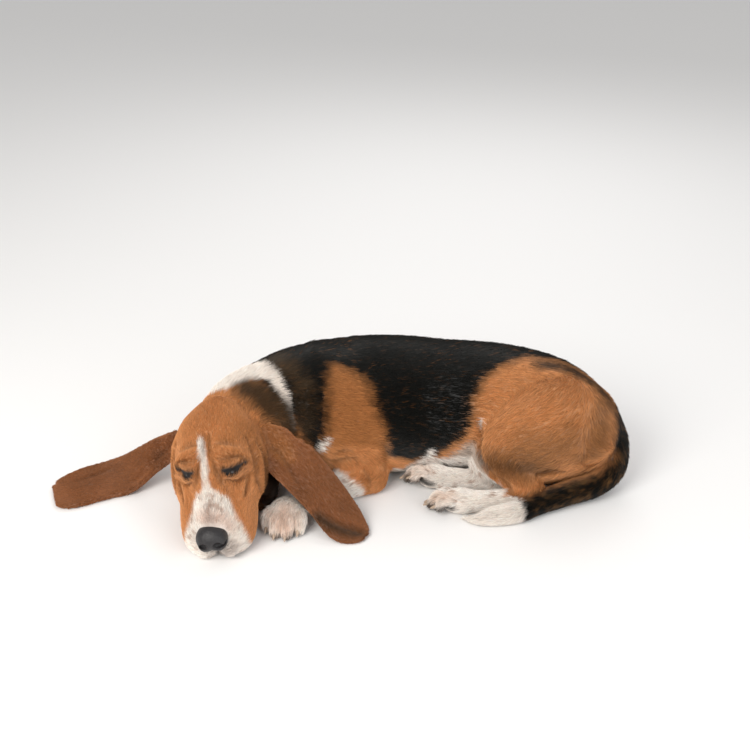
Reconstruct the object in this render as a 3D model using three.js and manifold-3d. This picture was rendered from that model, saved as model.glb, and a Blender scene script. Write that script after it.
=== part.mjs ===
// A basset hound asleep: chest and belly on the floor, chin down, forelegs under the chest,
// hind legs folded forward on its left side and the tail curled round them. Life size, with
// its coat. Millimetres, +Z up, +X towards the rump, +Y towards the back; the origin is on the
// floor, below the middle of its outline.
//
// The whole animal is one rounded field: swept ovals and egg shapes, blended where they meet.
// Each named part is the share of that field that lies nearest to its own shapes, meshed on
// its own grid, parted from its neighbours by a thin cut and trimmed flat where it lies down.
import * as THREE from "three";
import { mergeVertices } from "three/addons/utils/BufferGeometryUtils.js";
import Module from "manifold-3d";

// ---- driving dimensions -------------------------------------------------------------------
const FLOOR = 5; // the soft body settles this far over its lowest round points
const SLACK = 3.1; // how far the mesh may leave the rounded shape
const CUT = 2.2; // clearance between two parts
const YIELD = { trunk: 12, neck: 6 }; // how far these give way to the limbs that lie on them
const CHEST = 110; // half depth of the barrel behind the shoulders
const LOIN = 100; // and in front of the thighs
const NECK = [92, 78, 72, 60]; // neck radii, shoulder to skull
const FOREARM = [29, 25, 22]; // elbow, middle, wrist
const TAIL = [34, 29, 26, 23, 21, 20, 18.5, 18, 16, 10, 3.5]; // root to the end of the brush
const FRONT_PAW = { half: 32, long: 44 };
const HIND_PAW = { half: 27, long: 42 };
const EYE = 12; // eyeball radius
const EYE_PROUD = 2.2; // how far an eyeball stands out of the face between its lids
const CLAW = { root: 3.8, tip: 1.4, long: 11.5 };
const HEAD_AT = [-181, -34, 115]; // centre of the skull
const HEAD_FACES = [0.035, -0.872, -0.485]; // down the muzzle
const HEAD_ROLL = 9; // degrees, its left side up
const SKULL = [65, 59, 54]; // half length, width and height
const EYES = [55, 32, 22]; // in the head's own frame: forward, to its left, up
const GRID = { // mesh spacing of each part
  trunk: 25, neck: 21, head: 13, upper: 18, lower: 14, thigh: 21, shank: 14, foot: 12,
  paw: 8.5, tail: 12.5,
};

// ---- small vectors ------------------------------------------------------------------------
const add = (a, b, s = 1) => [a[0] + s * b[0], a[1] + s * b[1], a[2] + s * b[2]];
const dot = (a, b) => a[0] * b[0] + a[1] * b[1] + a[2] * b[2];
const cross = (a, b) => [
  a[1] * b[2] - a[2] * b[1], a[2] * b[0] - a[0] * b[2], a[0] * b[1] - a[1] * b[0],
];
const unit = (a) => {
  const l = Math.hypot(...a) || 1;
  return [a[0] / l, a[1] / l, a[2] / l];
};
const AXES = [[1, 0, 0], [0, 1, 0], [0, 0, 1]];
const radians = THREE.MathUtils.degToRad;

// Rows of numbers joined by a Catmull-Rom curve, with `steps` spans between two rows.
function smoothRows(rows, steps) {
  const beyond = (a, b) => a.map((v, i) => 2 * v - b[i]);
  const q = [beyond(rows[0], rows[1]), ...rows, beyond(rows.at(-1), rows.at(-2))];
  const out = [];
  for (let i = 1; i < q.length - 2; i++)
    for (let s = 0; s < steps; s++) {
      const t = s / steps;
      out.push(q[i].map((b, c) => {
        const a = q[i - 1][c], d = q[i + 1][c], e = q[i + 2][c];
        return 0.5 * (2 * b + (d - a) * t + (2 * a - 5 * b + 4 * d - e) * t * t
          + (3 * b - a - 3 * d + e) * t * t * t);
      }));
    }
  out.push(rows.at(-1));
  return out;
}

// ---- the two kinds of shape ---------------------------------------------------------------
// A limb: an oval swept along a smooth curve. `radii` are its half width along `side` and its
// half thickness across it; one number makes it round.
class Limb {
  constructor(part, points, radii, { side = [1, 0, 0], blend = 12, steps = 4 } = {}) {
    const rows = points.map((p, i) => {
      const [wide, thick] = Array.isArray(radii[i]) ? radii[i] : [radii[i], radii[i]];
      return [...p, wide, thick, ...unit(Array.isArray(side[0]) ? side[i] : side)];
    });
    this.take(part, smoothRows(rows, steps), blend);
  }

  take(part, rows, blend) {
    Object.assign(this, { part, rows, blend });
    this.stations = rows.map((r) => ({
      at: r.slice(0, 3), wide: r[3], thick: r[4], side: unit(r.slice(5, 8)),
    }));
    this.low = [0, 1, 2].map((c) =>
      Math.min(...this.stations.map((s) => s.at[c] - Math.max(s.wide, s.thick))));
    this.high = [0, 1, 2].map((c) =>
      Math.max(...this.stations.map((s) => s.at[c] + Math.max(s.wide, s.thick))));
  }

  // The same sweep shared out, in equal lengths, between parts along it.
  divided(parts) {
    const per = (this.rows.length - 1) / parts.length;
    return parts.map((part, i) => {
      const piece = Object.create(Limb.prototype);
      piece.take(part, this.rows.slice(Math.round(i * per), Math.round((i + 1) * per) + 1), this.blend);
      return piece;
    });
  }

  distance(p) {
    let best = Infinity;
    for (let i = 0; i + 1 < this.stations.length; i++) {
      const a = this.stations[i], b = this.stations[i + 1];
      const v = add(b.at, a.at, -1), length2 = dot(v, v) || 1e-9;
      const from = add(p, a.at, -1);
      const t = Math.min(1, Math.max(0, dot(from, v) / length2));
      const q = add(from, v, -t);
      const wide = a.wide + (b.wide - a.wide) * t, thick = a.thick + (b.thick - a.thick) * t;
      let d;
      if (Math.abs(wide - thick) < 1e-6) d = Math.hypot(...q) - wide;
      else {
        const along = unit(v);
        const raw = [0, 1, 2].map((c) => a.side[c] + (b.side[c] - a.side[c]) * t);
        const side = unit(add(raw, along, -dot(raw, along)));
        const x = dot(q, side), y2 = Math.max(dot(q, q) - x * x, 0);
        d = ovalDistance([x, Math.sqrt(y2)], [wide, thick]);
      }
      best = Math.min(best, d);
    }
    return best;
  }
}

// An egg shape: a centre, three radii and the three directions they lie along.
class Egg {
  constructor(part, centre, radii, { axes = AXES, blend = 12 } = {}) {
    Object.assign(this, { part, centre, radii, axes: axes.map(unit), blend });
    const reach = [0, 1, 2].map((c) => Math.hypot(...this.axes.map((a, i) => a[c] * radii[i])));
    this.low = add(centre, reach, -1);
    this.high = add(centre, reach);
  }

  distance(p) {
    const q = add(p, this.centre, -1);
    return ovalDistance(this.axes.map((a) => dot(q, a)), this.radii);
  }
}

// Close to the distance from a point to an ellipse or ellipsoid, exact on its surface.
function ovalDistance(q, radii) {
  const k0 = Math.hypot(...q.map((v, i) => v / radii[i]));
  const k1 = Math.hypot(...q.map((v, i) => v / radii[i] ** 2));
  return k0 < 1e-3 ? -Math.min(...radii) : (k0 * (k0 - 1)) / k1;
}

const blended = (a, b, k) => {
  const h = Math.max(k - Math.abs(a - b), 0) / k;
  return Math.min(a, b) - (h * h * k) / 4;
};

// ---- the animal ---------------------------------------------------------------------------
const flesh = [];
const limb = (part, points, radii, options) => flesh.push(new Limb(part, points, radii, options));
const egg = (part, centre, radii, options) => flesh.push(new Egg(part, centre, radii, options));

// The barrel lies rolled to its left, more so towards the hips.
const rolled = (degrees, x = 0) => [x, Math.sin(radians(degrees)), Math.cos(radians(degrees))];
limb("trunk",
  [[-62, 98, 104], [5, 112, 104], [80, 122, 102], [160, 126, 99], [238, 118, 101], [304, 94, 99], [348, 68, 94]],
  [[92, 84], [CHEST - 2, 96], [CHEST, 98], [CHEST - 5, 97], [LOIN, 96], [95, 93], [76, 82]],
  { side: [rolled(38), rolled(44), rolled(50), rolled(57), rolled(62), rolled(66, 0.2), rolled(68, 0.4)], blend: 20 });

// Forelegs: the left lies folded forward in view, the right is under the chest.
limb("foreleg_left_upper", [[-12, 98, 172], [-8, 62, 128], [6, 42, 84], [34, 34, 42]],
  [[46, 26], [50, 32], [44, 32], [32, 28]], { side: [1, 0.1, -0.2], blend: 22 });
limb("foreleg_left_lower", [[42, 28, 27], [0, 2, 28], [-50, -34, 26]], FOREARM, { blend: 14 });
limb("foreleg_right_upper", [[-20, 176, 110], [-4, 196, 70], [10, 200, 34]], [44, 38, 30], { blend: 22 });
limb("foreleg_right_lower", [[12, 196, 29], [-45, 178, 28], [-100, 158, 25]], [28, 24, 21], { blend: 14 });

limb("neck", [[-48, 100, 112], [-102, 92, 112], [-146, 66, 106], [-170, 22, 90]], NECK, { blend: 26 });
limb("neck", [[-150, 30, 60], [-172, -10, 40], [-176, -50, 30]], [52, 46, 38], { blend: 24 });
limb("neck", [[-140, 30, 50], [-128, -18, 34]], [50, 33], { blend: 8 }); // dewlap beside the paw

// Hind legs: thigh, shank and foot folded into a flat Z; the right one is half hidden.
limb("hindleg_left_thigh", [[342, 52, 112], [312, 32, 108], [268, 22, 96], [238, 24, 78]],
  [[74, 56], [78, 56], [62, 46], [40, 38]], { side: [0.3, 0.3, 0.9], blend: 16 });
limb("hindleg_left_thigh", [[298, 20, 50], [345, 38, 53], [378, 50, 62]], [30, 34, 30], { blend: 14 }); // its back, on the floor
limb("hindleg_left_shank", [[242, 22, 70], [262, 0, 50], [282, -18, 32]], [40, 30, 22]);
limb("hindleg_left_foot", [[286, -20, 28], [266, -28, 24], [226, -32, 22], [188, -32, 21]], [22, 19, 17, 18], { blend: 10 });
limb("hindleg_right_thigh", [[334, 94, 62], [292, 68, 52], [256, 56, 46]], [62, 48, 36], { blend: 16 });
limb("hindleg_right_shank", [[232, 44, 40], [262, 34, 32], [290, 30, 26]], [38, 29, 21]);
limb("hindleg_right_foot", [[292, 30, 24], [250, 26, 23], [200, 26, 22], [160, 28, 22]], [20, 18, 17, 18], { blend: 10 });

limb("tail",
  [[364, 68, 138], [392, 64, 114], [413, 51, 78], [412, 27, 46], [386, 4, 30], [342, -15, 25], [296, -37, 22],
    [262, -56, 20], [228, -65, 18], [204, -67, 14], [184, -58, 8]],
  TAIL, { blend: 8, steps: 5 });

// The head is built in its own frame: forward down the muzzle, to its left, up.
const forward = unit(HEAD_FACES);
const level = unit(cross([0, 0, 1], forward));
const upright = cross(forward, level);
const roll = radians(HEAD_ROLL);
const leftward = unit(add(level.map((v) => v * Math.cos(roll)), upright, Math.sin(roll)));
const upward = unit(add(upright.map((v) => v * Math.cos(roll)), level, -Math.sin(roll)));
const turned = ([x, y, z]) => add(add(forward.map((v) => v * x), leftward, y), upward, z);
const onHead = (p) => add(HEAD_AT, turned(p));
const headAxes = [forward, leftward, upward];
const bothSides = (make) => [1, -1].forEach(make);
const headLimb = (points, radii, blend, mirror = 1) =>
  limb("head", points.map(([x, y, z]) => onHead([x, y * mirror, z])), radii, { side: leftward, blend });
const headEgg = (part, [x, y, z], radii, blend, mirror = 1) =>
  egg(part, onHead([x, y * mirror, z]), radii, { axes: headAxes, blend });

headEgg("head", [-3, 0, 6], SKULL, 20);
headEgg("head", [-50, 5, 19], [22, 21, 20], 24); // the peak of the occiput
headEgg("head", [36, 0, 20], [42, 40, 34], 20); // forehead
headLimb([[56, 0, 16], [98, 0, 6], [124, 0, -1]], [[28, 22], [24, 20], [20, 15]], 18); // bridge
bothSides((m) => headLimb([[66, 24, 2], [98, 24, -6], [122, 20, -11]], [11, 12, 11], 14, m)); // its sides
bothSides((m) => headLimb([[52, 37, -20], [90, 38, -30], [122, 33, -33], [143, 17, -28]],
  [[17, 32], [18, 32], [18, 26], [15, 15.5]], 14, m)); // hanging upper lips
bothSides((m) => headEgg("head", [14, 49, -24], [56, 22, 44], 16, m)); // loose cheeks
headLimb([[20, 0, -40], [80, 0, -46], [126, 0, -38]], [34, 26, 16], 14); // lower jaw
bothSides((m) => headLimb([[44, 12, 43], [32, 22, 45], [31, 37, 35], [35, 48, 22]], [8, 9, 9, 8], 10, m)); // brows
headEgg("head", [-30, 0, -46], [62, 50, 46], 20); // throat

// Ears: long flat leaves, the left over the forearm and the right laid out on the floor.
const EAR_LEFT = new Limb("ear_left",
  [[-117, 2, 118], [-95, -14, 105], [-59, -34, 79], [-24, -58, 48], [5, -85, 20], [24.5, -98, 9.6], [33, -103, 9.6]],
  [[20, 6], [34, 5], [37, 5], [36, 5], [35, 5], [25, 5], [13, 4.6]],
  { side: [[0.2, 0.5, 0.85], [0.5, 0.6, 0.6], [0.52, 0.7, 0.45], [0.45, 0.8, 0.35], [0.5, 0.8, 0.2],
    [0.5, 0.8, 0.1], [0.5, 0.8, 0.1]], blend: 6, steps: 2 });
const EAR_RIGHT = new Limb("ear_right",
  [[-244, 18, 96], [-266, 27, 76], [-298, 48, 44], [-331, 47, 20], [-362, 43, 11], [-391, 28, 9.6], [-417, 6, 9.6],
    [-434, -1, 9.6]],
  [[18, 6], [24, 5.5], [32, 5], [45, 5], [49, 5], [49, 5], [42, 5], [30, 4.6]],
  { side: [[0, 0.3, 0.95], [-0.1, 0.65, 0.75], [-0.1, 0.85, 0.5], [-0.15, 1, 0.2], [-0.2, 1, 0.04], [-0.2, 1, 0],
    [-0.25, 1, 0], [-0.25, 1, 0]], blend: 6, steps: 2 });

// A paw: a pad and four toes side by side; each toe ends in a claw.
const toes = [[-0.74, 0.72, 0.36], [-0.26, 1, 0.38], [0.26, 1, 0.38], [0.74, 0.72, 0.36]];
const clawSeats = [];
function paw(part, at, ahead, above, { half, long }) {
  const f = unit(ahead), u = unit(add(above, f, -dot(above, f))), s = cross(u, f);
  const place = (x, y, z) => add(add(add(at, f, x), s, y), u, z);
  egg(part, place(4, 0, 0), [26, half * 0.86, 19], { axes: [f, s, u], blend: 8 });
  toes.forEach(([across, reach, fat], i) => {
    const y = across * half, end = place(long * reach, y, -4);
    limb(part, [place(12, y * 0.9, 3), place(long * 0.62 * reach + 6, y, 4), end],
      [fat * half * 0.95, fat * half, fat * half * 0.86], { blend: 4 });
    const down = unit(add(f, u, -0.22));
    clawSeats.push({ name: part.replace("paw", "claw") + "_" + (i + 1), at: add(end, down, fat * half * 0.5), down });
  });
}
paw("paw_front_left", [-78, -57, 24], [-0.18, -0.97, -0.08], [0, 0, 1], FRONT_PAW);
paw("paw_front_right", [-132, 148, 22.5], [-0.95, -0.3, 0], [0, 0, 1], FRONT_PAW);
paw("paw_hind_left", [180, -31, 21], [-1, 0.14, 0], [0, 0.3, 0.95], HIND_PAW);
paw("paw_hind_right", [146, 30, 24], [-1, 0.2, 0], [0, 0.6, 0.8], HIND_PAW);

// ---- the field ----------------------------------------------------------------------------
const owners = flesh.flatMap((shape) =>
  shape.part === "tail" ? shape.divided(["tail_base", "tail_middle", "tail_tip"]) : [shape]);
const near = (shape, p, reach) =>
  [0, 1, 2].every((c) => p[c] > shape.low[c] - reach && p[c] < shape.high[c] + reach);
const body = (p) => flesh.reduce((f, shape) =>
  near(shape, p, shape.blend + 30) ? blended(f, shape.distance(p), shape.blend) : f, 60);

// Below zero where a point is nearer to this part's own shapes than to those of the parts still
// to be made; it may reach a little into the parts made before it, which then cut it.
const OVER = 3;
function share(part, madeBefore) {
  const own = owners.filter((o) => o.part === part);
  const rest = owners.filter((o) => o.part !== part
    && own.some((w) => AXES.every((_, c) => o.low[c] < w.high[c] + 90 && o.high[c] > w.low[c] - 90)));
  const before = rest.filter((o) => madeBefore.includes(o.part));
  const after = rest.filter((o) => !madeBefore.includes(o.part));
  const nearest = (shapes, p) =>
    Math.min(90, ...shapes.map((s) => s.distance(p) + (YIELD[s.part] ?? 0)));
  return (p) => {
    const mine = nearest(own, p);
    return Math.max(mine - nearest(after, p), mine - nearest(before, p) - OVER);
  };
}

// ---- meshing ------------------------------------------------------------------------------
// A field sampled on a grid of spacing h, with one cell to spare all round.
function sampled(field, low, high, h) {
  const n = [0, 1, 2].map((c) => Math.ceil((high[c] - low[c]) / h) + 3);
  const start = low.map((v) => v - h);
  const at = (i, j, k) => (i * n[1] + j) * n[2] + k;
  const values = new Float64Array(n[0] * n[1] * n[2]);
  for (let i = 0; i < n[0]; i++)
    for (let j = 0; j < n[1]; j++)
      for (let k = 0; k < n[2]; k++)
        values[at(i, j, k)] = field([start[0] + i * h, start[1] + j * h, start[2] + k * h]);
  return joinedUp({ field, n, start, at, values, h });
}

// Where inside points meet only across a diagonal, the surface would touch itself there, so the
// nearest outside point between them is taken in, until no such place is left.
function joinedUp(samples) {
  const { n, at, values } = samples;
  const squares = [[1, 2], [2, 4], [4, 1]].map(([u, w]) => [0, u, u | w, w]);
  const diagonals = [0, 1, 2, 3].map((b) => [b, 7 - b]);
  for (let changed = true; changed;) {
    changed = false;
    for (let i = 0; i + 1 < n[0]; i++)
      for (let j = 0; j + 1 < n[1]; j++)
        for (let k = 0; k + 1 < n[2]; k++) {
          const cell = [0, 1, 2, 3, 4, 5, 6, 7].map((b) => at(i + (b >> 2), j + ((b >> 1) & 1), k + (b & 1)));
          const inside = cell.map((c) => values[c] < 0);
          const count = inside.filter(Boolean).length;
          if (count === 0 || count === 8) continue;
          const takeIn = (outside) => {
            const nearest = outside.reduce((a, b) => (values[cell[b]] < values[cell[a]] ? b : a));
            values[cell[nearest]] = -0.05;
            changed = true;
          };
          const crossed = squares.find(([a, b, c, d]) =>
            inside[a] === inside[c] && inside[b] === inside[d] && inside[a] !== inside[b]);
          const apart = diagonals.find(([a, b]) =>
            inside[a] === inside[b] && count === (inside[a] ? 2 : 6));
          if (crossed) takeIn(crossed.filter((c) => !inside[c]));
          else if (apart) takeIn([0, 1, 2, 3, 4, 5, 6, 7].filter((c) => !inside[c]));
        }
  }
  return samples;
}

// The surface where a sampled field is zero: one vertex in each cell that it crosses, at the
// mean of its crossings and then slid on to the surface, and one square for each grid edge.
function surface({ field, n, start, at, values, h }) {
  const corners = [0, 1, 2, 3, 4, 5, 6, 7].map((b) => [b >> 2, (b >> 1) & 1, b & 1]);
  const vertexAt = new Map();
  const points = [];
  for (let i = 0; i + 1 < n[0]; i++)
    for (let j = 0; j + 1 < n[1]; j++)
      for (let k = 0; k + 1 < n[2]; k++) {
        const f = corners.map(([a, b, c]) => values[at(i + a, j + b, k + c)]);
        const sum = [0, 0, 0];
        let crossings = 0;
        for (let b = 0; b < 8; b++)
          for (const step of [4, 2, 1]) {
            if (b & step || f[b] < 0 === f[b | step] < 0) continue;
            const t = f[b] / (f[b] - f[b | step]);
            const c = [...corners[b]];
            c[step === 4 ? 0 : step === 2 ? 1 : 2] += t;
            c.forEach((v, axis) => (sum[axis] += v));
            crossings++;
          }
        if (!crossings) continue;
        vertexAt.set(at(i, j, k), points.length);
        points.push([i, j, k].map((v, c) => start[c] + h * (v + sum[c] / crossings)));
      }
  const triangles = [];
  for (let i = 1; i + 1 < n[0]; i++)
    for (let j = 1; j + 1 < n[1]; j++)
      for (let k = 1; k + 1 < n[2]; k++)
        for (let axis = 0; axis < 3; axis++) {
          const step = AXES[axis];
          const inside = values[at(i, j, k)] < 0;
          if (inside === values[at(i + step[0], j + step[1], k + step[2])] < 0) continue;
          const u = AXES[(axis + 1) % 3], w = AXES[(axis + 2) % 3];
          const cell = (a, b) => vertexAt.get(at(i - a * u[0] - b * w[0], j - a * u[1] - b * w[1], k - a * u[2] - b * w[2]));
          const q = [cell(1, 1), cell(0, 1), cell(0, 0), cell(1, 0)];
          if (!inside) q.reverse();
          triangles.push(q);
        }
  const slope = (p, f) => [0, 1, 2].map((c) => {
    const q = [...p];
    q[c] += 0.5;
    return (field(q) - f) / 0.5;
  });
  for (const p of points)
    for (let round = 0; round < 2; round++) {
      const f = field(p), g = slope(p, f), g2 = Math.max(dot(g, g), 0.25);
      const move = Math.max(-0.3 * h, Math.min(0.3 * h, -f / Math.sqrt(g2)));
      for (let c = 0; c < 3; c++) p[c] += (move * g[c]) / Math.sqrt(g2);
    }
  // Each square is split along its shorter diagonal.
  const gap2 = (a, b) => Math.hypot(...add(points[a], points[b], -1));
  return {
    points,
    triangles: triangles.flatMap(([a, b, c, d]) =>
      gap2(a, c) <= gap2(b, d) ? [[a, b, c], [a, c, d]] : [[a, b, d], [b, c, d]]),
  };
}

// Fewer triangles for the same shape: a vertex slides along an edge on to its neighbour where the
// planes it stood for stay within `slack`, no face turns over or narrows to a needle, and the
// skin stays closed. A plane sum holds the squared distances to all the planes of a vertex.
function thinned({ points, triangles }, slack) {
  const faces = triangles.map((t) => [...t]);
  const around = points.map(() => new Set());
  const sums = points.map(() => new Float64Array(10));
  const normal = ([a, b, c]) => cross(add(points[b], points[a], -1), add(points[c], points[a], -1));
  faces.forEach((t, i) => {
    const n = unit(normal(t)), d = -dot(n, points[t[0]]), plane = [...n, d];
    const terms = [];
    for (let r = 0; r < 4; r++) for (let c = r; c < 4; c++) terms.push(plane[r] * plane[c]);
    for (const v of t) {
      around[v].add(i);
      terms.forEach((x, k) => (sums[v][k] += x));
    }
  });
  const cost = (v, u) => {
    const [x, y, z] = points[u], q = [x * x, 2 * x * y, 2 * x * z, 2 * x, y * y, 2 * y * z, 2 * y, z * z, 2 * z, 1];
    return q.reduce((total, x2, k) => total + x2 * sums[v][k], 0);
  };
  const neighbours = (v) => new Set([...around[v]].flatMap((i) => faces[i]).filter((w) => w !== v));
  const onFloor = (v) => Math.abs(points[v][2] - FLOOR) < 1e-3; // the flats keep their outline
  const allowed = (v, u) => {
    if (onFloor(v) && !onFloor(u)) return false;
    const ofU = neighbours(u);
    if ([...neighbours(v)].filter((w) => ofU.has(w)).length !== 2) return false;
    return [...around[v]].every((i) => {
      if (faces[i].includes(u)) return true;
      const before = normal(faces[i]), next = faces[i].map((w) => (w === v ? u : w)), after = normal(next);
      const longest = Math.max(...next.map((w, k) => Math.hypot(...add(points[w], points[next[(k + 1) % 3]], -1))));
      const size = Math.hypot(...after);
      return dot(before, after) > 0.4 * Math.hypot(...before) * size && size > 0.4 * longest;
    });
  };
  for (let moved = 1; moved;) {
    moved = 0;
    const edges = [];
    faces.forEach((t) => t && t.forEach((v, k) => {
      const u = t[(k + 1) % 3];
      for (const [a, b] of [[v, u], [u, v]]) {
        const c = cost(a, b);
        if (c < slack * slack) edges.push([c, a, b]);
      }
    }));
    edges.sort((a, b) => a[0] - b[0]);
    for (const [, v, u] of edges) {
      if (![...around[v]].some((i) => faces[i].includes(u))) continue;
      if (cost(v, u) >= slack * slack || !allowed(v, u)) continue;
      for (const i of [...around[v]]) {
        if (faces[i].includes(u)) {
          for (const w of faces[i]) around[w].delete(i);
          faces[i] = null;
        } else {
          faces[i] = faces[i].map((w) => (w === v ? u : w));
          around[u].add(i);
        }
      }
      around[v].clear();
      sums[v].forEach((x, k) => (sums[u][k] += x));
      moved++;
    }
  }
  const kept = new Map();
  const numbered = (v) => {
    if (!kept.has(v)) kept.set(v, kept.size);
    return kept.get(v);
  };
  const left = faces.filter(Boolean).map((t) => t.map(numbered));
  return { points: [...kept.keys()].map((v) => points[v]), triangles: left };
}

// The same skin with every vertex moved out along its normal.
function grown({ points, triangles }, distance) {
  const normals = points.map(() => [0, 0, 0]);
  for (const [a, b, c] of triangles) {
    const n = unit(cross(add(points[b], points[a], -1), add(points[c], points[a], -1)));
    for (const v of [a, b, c]) normals[v] = add(normals[v], n);
  }
  return { points: points.map((p, i) => add(p, unit(normals[i]), distance)), triangles };
}

// Rings of the same count joined into a closed skin, a point at each end.
function lofted(rings) {
  const count = rings[0].length;
  const mean = (ring) => ring.reduce((m, p) => add(m, p, 1 / count), [0, 0, 0]);
  const points = [mean(rings[0]), ...rings.flat(), mean(rings.at(-1))];
  const triangles = [];
  const last = points.length - 1;
  for (let s = 0; s < count; s++) {
    const next = (s + 1) % count;
    triangles.push([0, 1 + next, 1 + s]);
    for (let r = 0; r + 1 < rings.length; r++) {
      const a = 1 + r * count, b = a + count;
      triangles.push([a + s, a + next, b + next], [a + s, b + next, b + s]);
    }
    triangles.push([last, last - count + s, last - count + next]);
  }
  return { points, triangles };
}

// ---- solids -------------------------------------------------------------------------------
const wasm = await Module();
wasm.setup();

function solid({ points, triangles }) {
  const made = new wasm.Manifold(new wasm.Mesh({
    numProp: 3,
    vertProperties: new Float32Array(points.flat()),
    triVerts: new Uint32Array(triangles.flat()),
  }));
  return made;
}

// The vertices and triangles of a solid, thinned where the cuts left slivers.
function skinOf(made) {
  const { vertProperties: v, triVerts: t } = made.getMesh();
  const threes = (list) => Array.from({ length: list.length / 3 }, (_, i) => [list[3 * i], list[3 * i + 1], list[3 * i + 2]]);
  return thinned({ points: threes(v), triangles: threes(t) }, SLACK / 2.5);
}

// The largest piece of a solid: a cut may leave crumbs.
const largest = (made) => made.decompose().reduce((a, b) => (b.volume() > a.volume() ? b : a));

// An ear as rings of a flat oval: straight over its breadth, round at both rims.
function leaf(ear, grow = 0) {
  const sides = 10;
  const rings = [];
  ear.stations.forEach(({ at, wide, thick, side }, i, all) => {
    const along = unit(add(all[Math.min(i + 1, all.length - 1)].at, all[Math.max(i - 1, 0)].at, -1));
    const across = unit(add(side, along, -dot(side, along))), normal = cross(along, across);
    const ring = (w, t, slide) => Array.from({ length: sides }, (_, s) => {
      const a = (2 * Math.PI * s) / sides;
      const x = t * Math.cos(a) + Math.sign(Math.cos(a)) * (w - t);
      return add(add(add(at, across, x), normal, t * Math.sin(a)), along, slide);
    });
    if (i === 0) rings.push(ring(wide * 0.6, thick * 0.5, -thick * 0.8 - grow));
    rings.push(ring(wide + grow, thick + grow, 0));
    if (i === all.length - 1) rings.push(ring(wide * 0.5 + grow, thick * 0.5 + grow, thick * 0.8 + grow));
  });
  return solid(lofted(rings));
}

function ball(centre, radii, axes, grow = 0) {
  const g = new THREE.SphereGeometry(1, 12, 7);
  g.deleteAttribute("normal");
  g.deleteAttribute("uv");
  const merged = mergeVertices(g, 1e-4), position = merged.attributes.position;
  const points = Array.from({ length: position.count }, (_, i) => {
    const v = [position.getX(i), position.getZ(i), position.getY(i)].map((x, c) => x * (radii[c] + grow));
    return add(add(add(centre, axes[0], v[0]), axes[1], -v[1]), axes[2], v[2]);
  });
  const triangles = [];
  for (let i = 0; i < merged.index.count; i += 3)
    triangles.push([merged.index.getX(i), merged.index.getX(i + 1), merged.index.getX(i + 2)]);
  return solid({ points, triangles });
}

// A claw curves down from its toe and tapers to a blunt tip.
function claw({ at, down }, grow = 0) {
  const side = unit(cross([0, 0, 1], down)), up = cross(down, side);
  const rings = [0, 0.35, 0.7, 0.95].map((t) => {
    const r = CLAW.root + (CLAW.tip - CLAW.root) * t + grow;
    const centre = add(add(at, down, CLAW.long * t), up, -2.2 * t * t);
    return Array.from({ length: 6 }, (_, s) => {
      const a = (2 * Math.PI * s) / 6;
      return add(add(centre, side, 0.8 * r * Math.cos(a)), up, r * Math.sin(a));
    });
  });
  rings[0] = rings[0].map((p) => add(p, down, -grow));
  rings[3] = rings[3].map((p) => add(p, down, grow));
  return solid(lofted(rings));
}

// ---- the parts ----------------------------------------------------------------------------
const colours = { tan: 0xa8642f, black: 0x221d1b, white: 0xe6ddd0, ear: 0x6e4227, leather: 0x1f1c1d, horn: 0xb9a58c, eye: 0x1a1210 };
const parts = [
  ["trunk", GRID.trunk, "black"], ["neck", GRID.neck, "black"],
  ["hindleg_left_thigh", GRID.thigh, "tan"], ["hindleg_right_thigh", GRID.thigh, "tan"],
  ["foreleg_left_upper", GRID.upper, "tan"], ["foreleg_right_upper", GRID.upper, "tan"],
  ["hindleg_left_shank", GRID.shank, "tan"], ["hindleg_right_shank", GRID.shank, "tan"],
  ["foreleg_left_lower", GRID.lower, "white"], ["foreleg_right_lower", GRID.lower, "white"],
  ["head", GRID.head, "tan"],
  ["tail_base", GRID.tail, "black"], ["tail_middle", GRID.tail, "black"], ["tail_tip", GRID.tail, "white"],
  ["hindleg_left_foot", GRID.foot, "white"], ["hindleg_right_foot", GRID.foot, "white"],
  ["paw_front_left", GRID.paw, "white"], ["paw_front_right", GRID.paw, "white"],
  ["paw_hind_left", GRID.paw, "white"], ["paw_hind_right", GRID.paw, "white"],
];

// Eyeballs sit so that only a cap of each stands out of the face: a point is slid out to the
// face, and the centre lies behind it.
const outward = (p) => unit([0, 1, 2].map((c) => {
  const q = [...p];
  q[c] += 1;
  return body(q) - body(p);
}));
const eyeballs = [1, -1].map((m) => {
  let p = onHead([EYES[0], EYES[1] * m, EYES[2]]);
  for (let i = 0; i < 12; i++) p = add(p, outward(p), -body(p));
  return add(p, outward(p), EYE_PROUD - EYE);
});
const NOSE = [onHead([138, -3, -5]), [21, 22, 19], headAxes];

// What is made first keeps its whole shape, and what comes after is cut clear of it.
const made = new Map();
const cutters = new Map();
const place = (name, whole, grown, colour) => {
  let piece = whole.trimByPlane([0, 0, 1], FLOOR);
  const box = piece.boundingBox();
  for (const cutter of cutters.values()) {
    const b = cutter.boundingBox();
    if ([0, 1, 2].every((c) => b.min[c] < box.max[c] && b.max[c] > box.min[c])) piece = piece.subtract(cutter);
  }
  made.set(name, { piece: largest(piece), colour });
  cutters.set(name, grown);
};
eyeballs.forEach((e, i) => place(i ? "eye_right" : "eye_left", ball(e, [EYE, EYE, EYE], headAxes), ball(e, [EYE, EYE, EYE], headAxes, CUT), "eye"));
place("nose", ball(...NOSE), ball(...NOSE, CUT), "leather");
clawSeats.forEach((seat) => place(seat.name, claw(seat), claw(seat, 1.4), "horn"));
place("ear_left", leaf(EAR_LEFT), leaf(EAR_LEFT, CUT), "ear");
place("ear_right", leaf(EAR_RIGHT), leaf(EAR_RIGHT, CUT), "ear");
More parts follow.
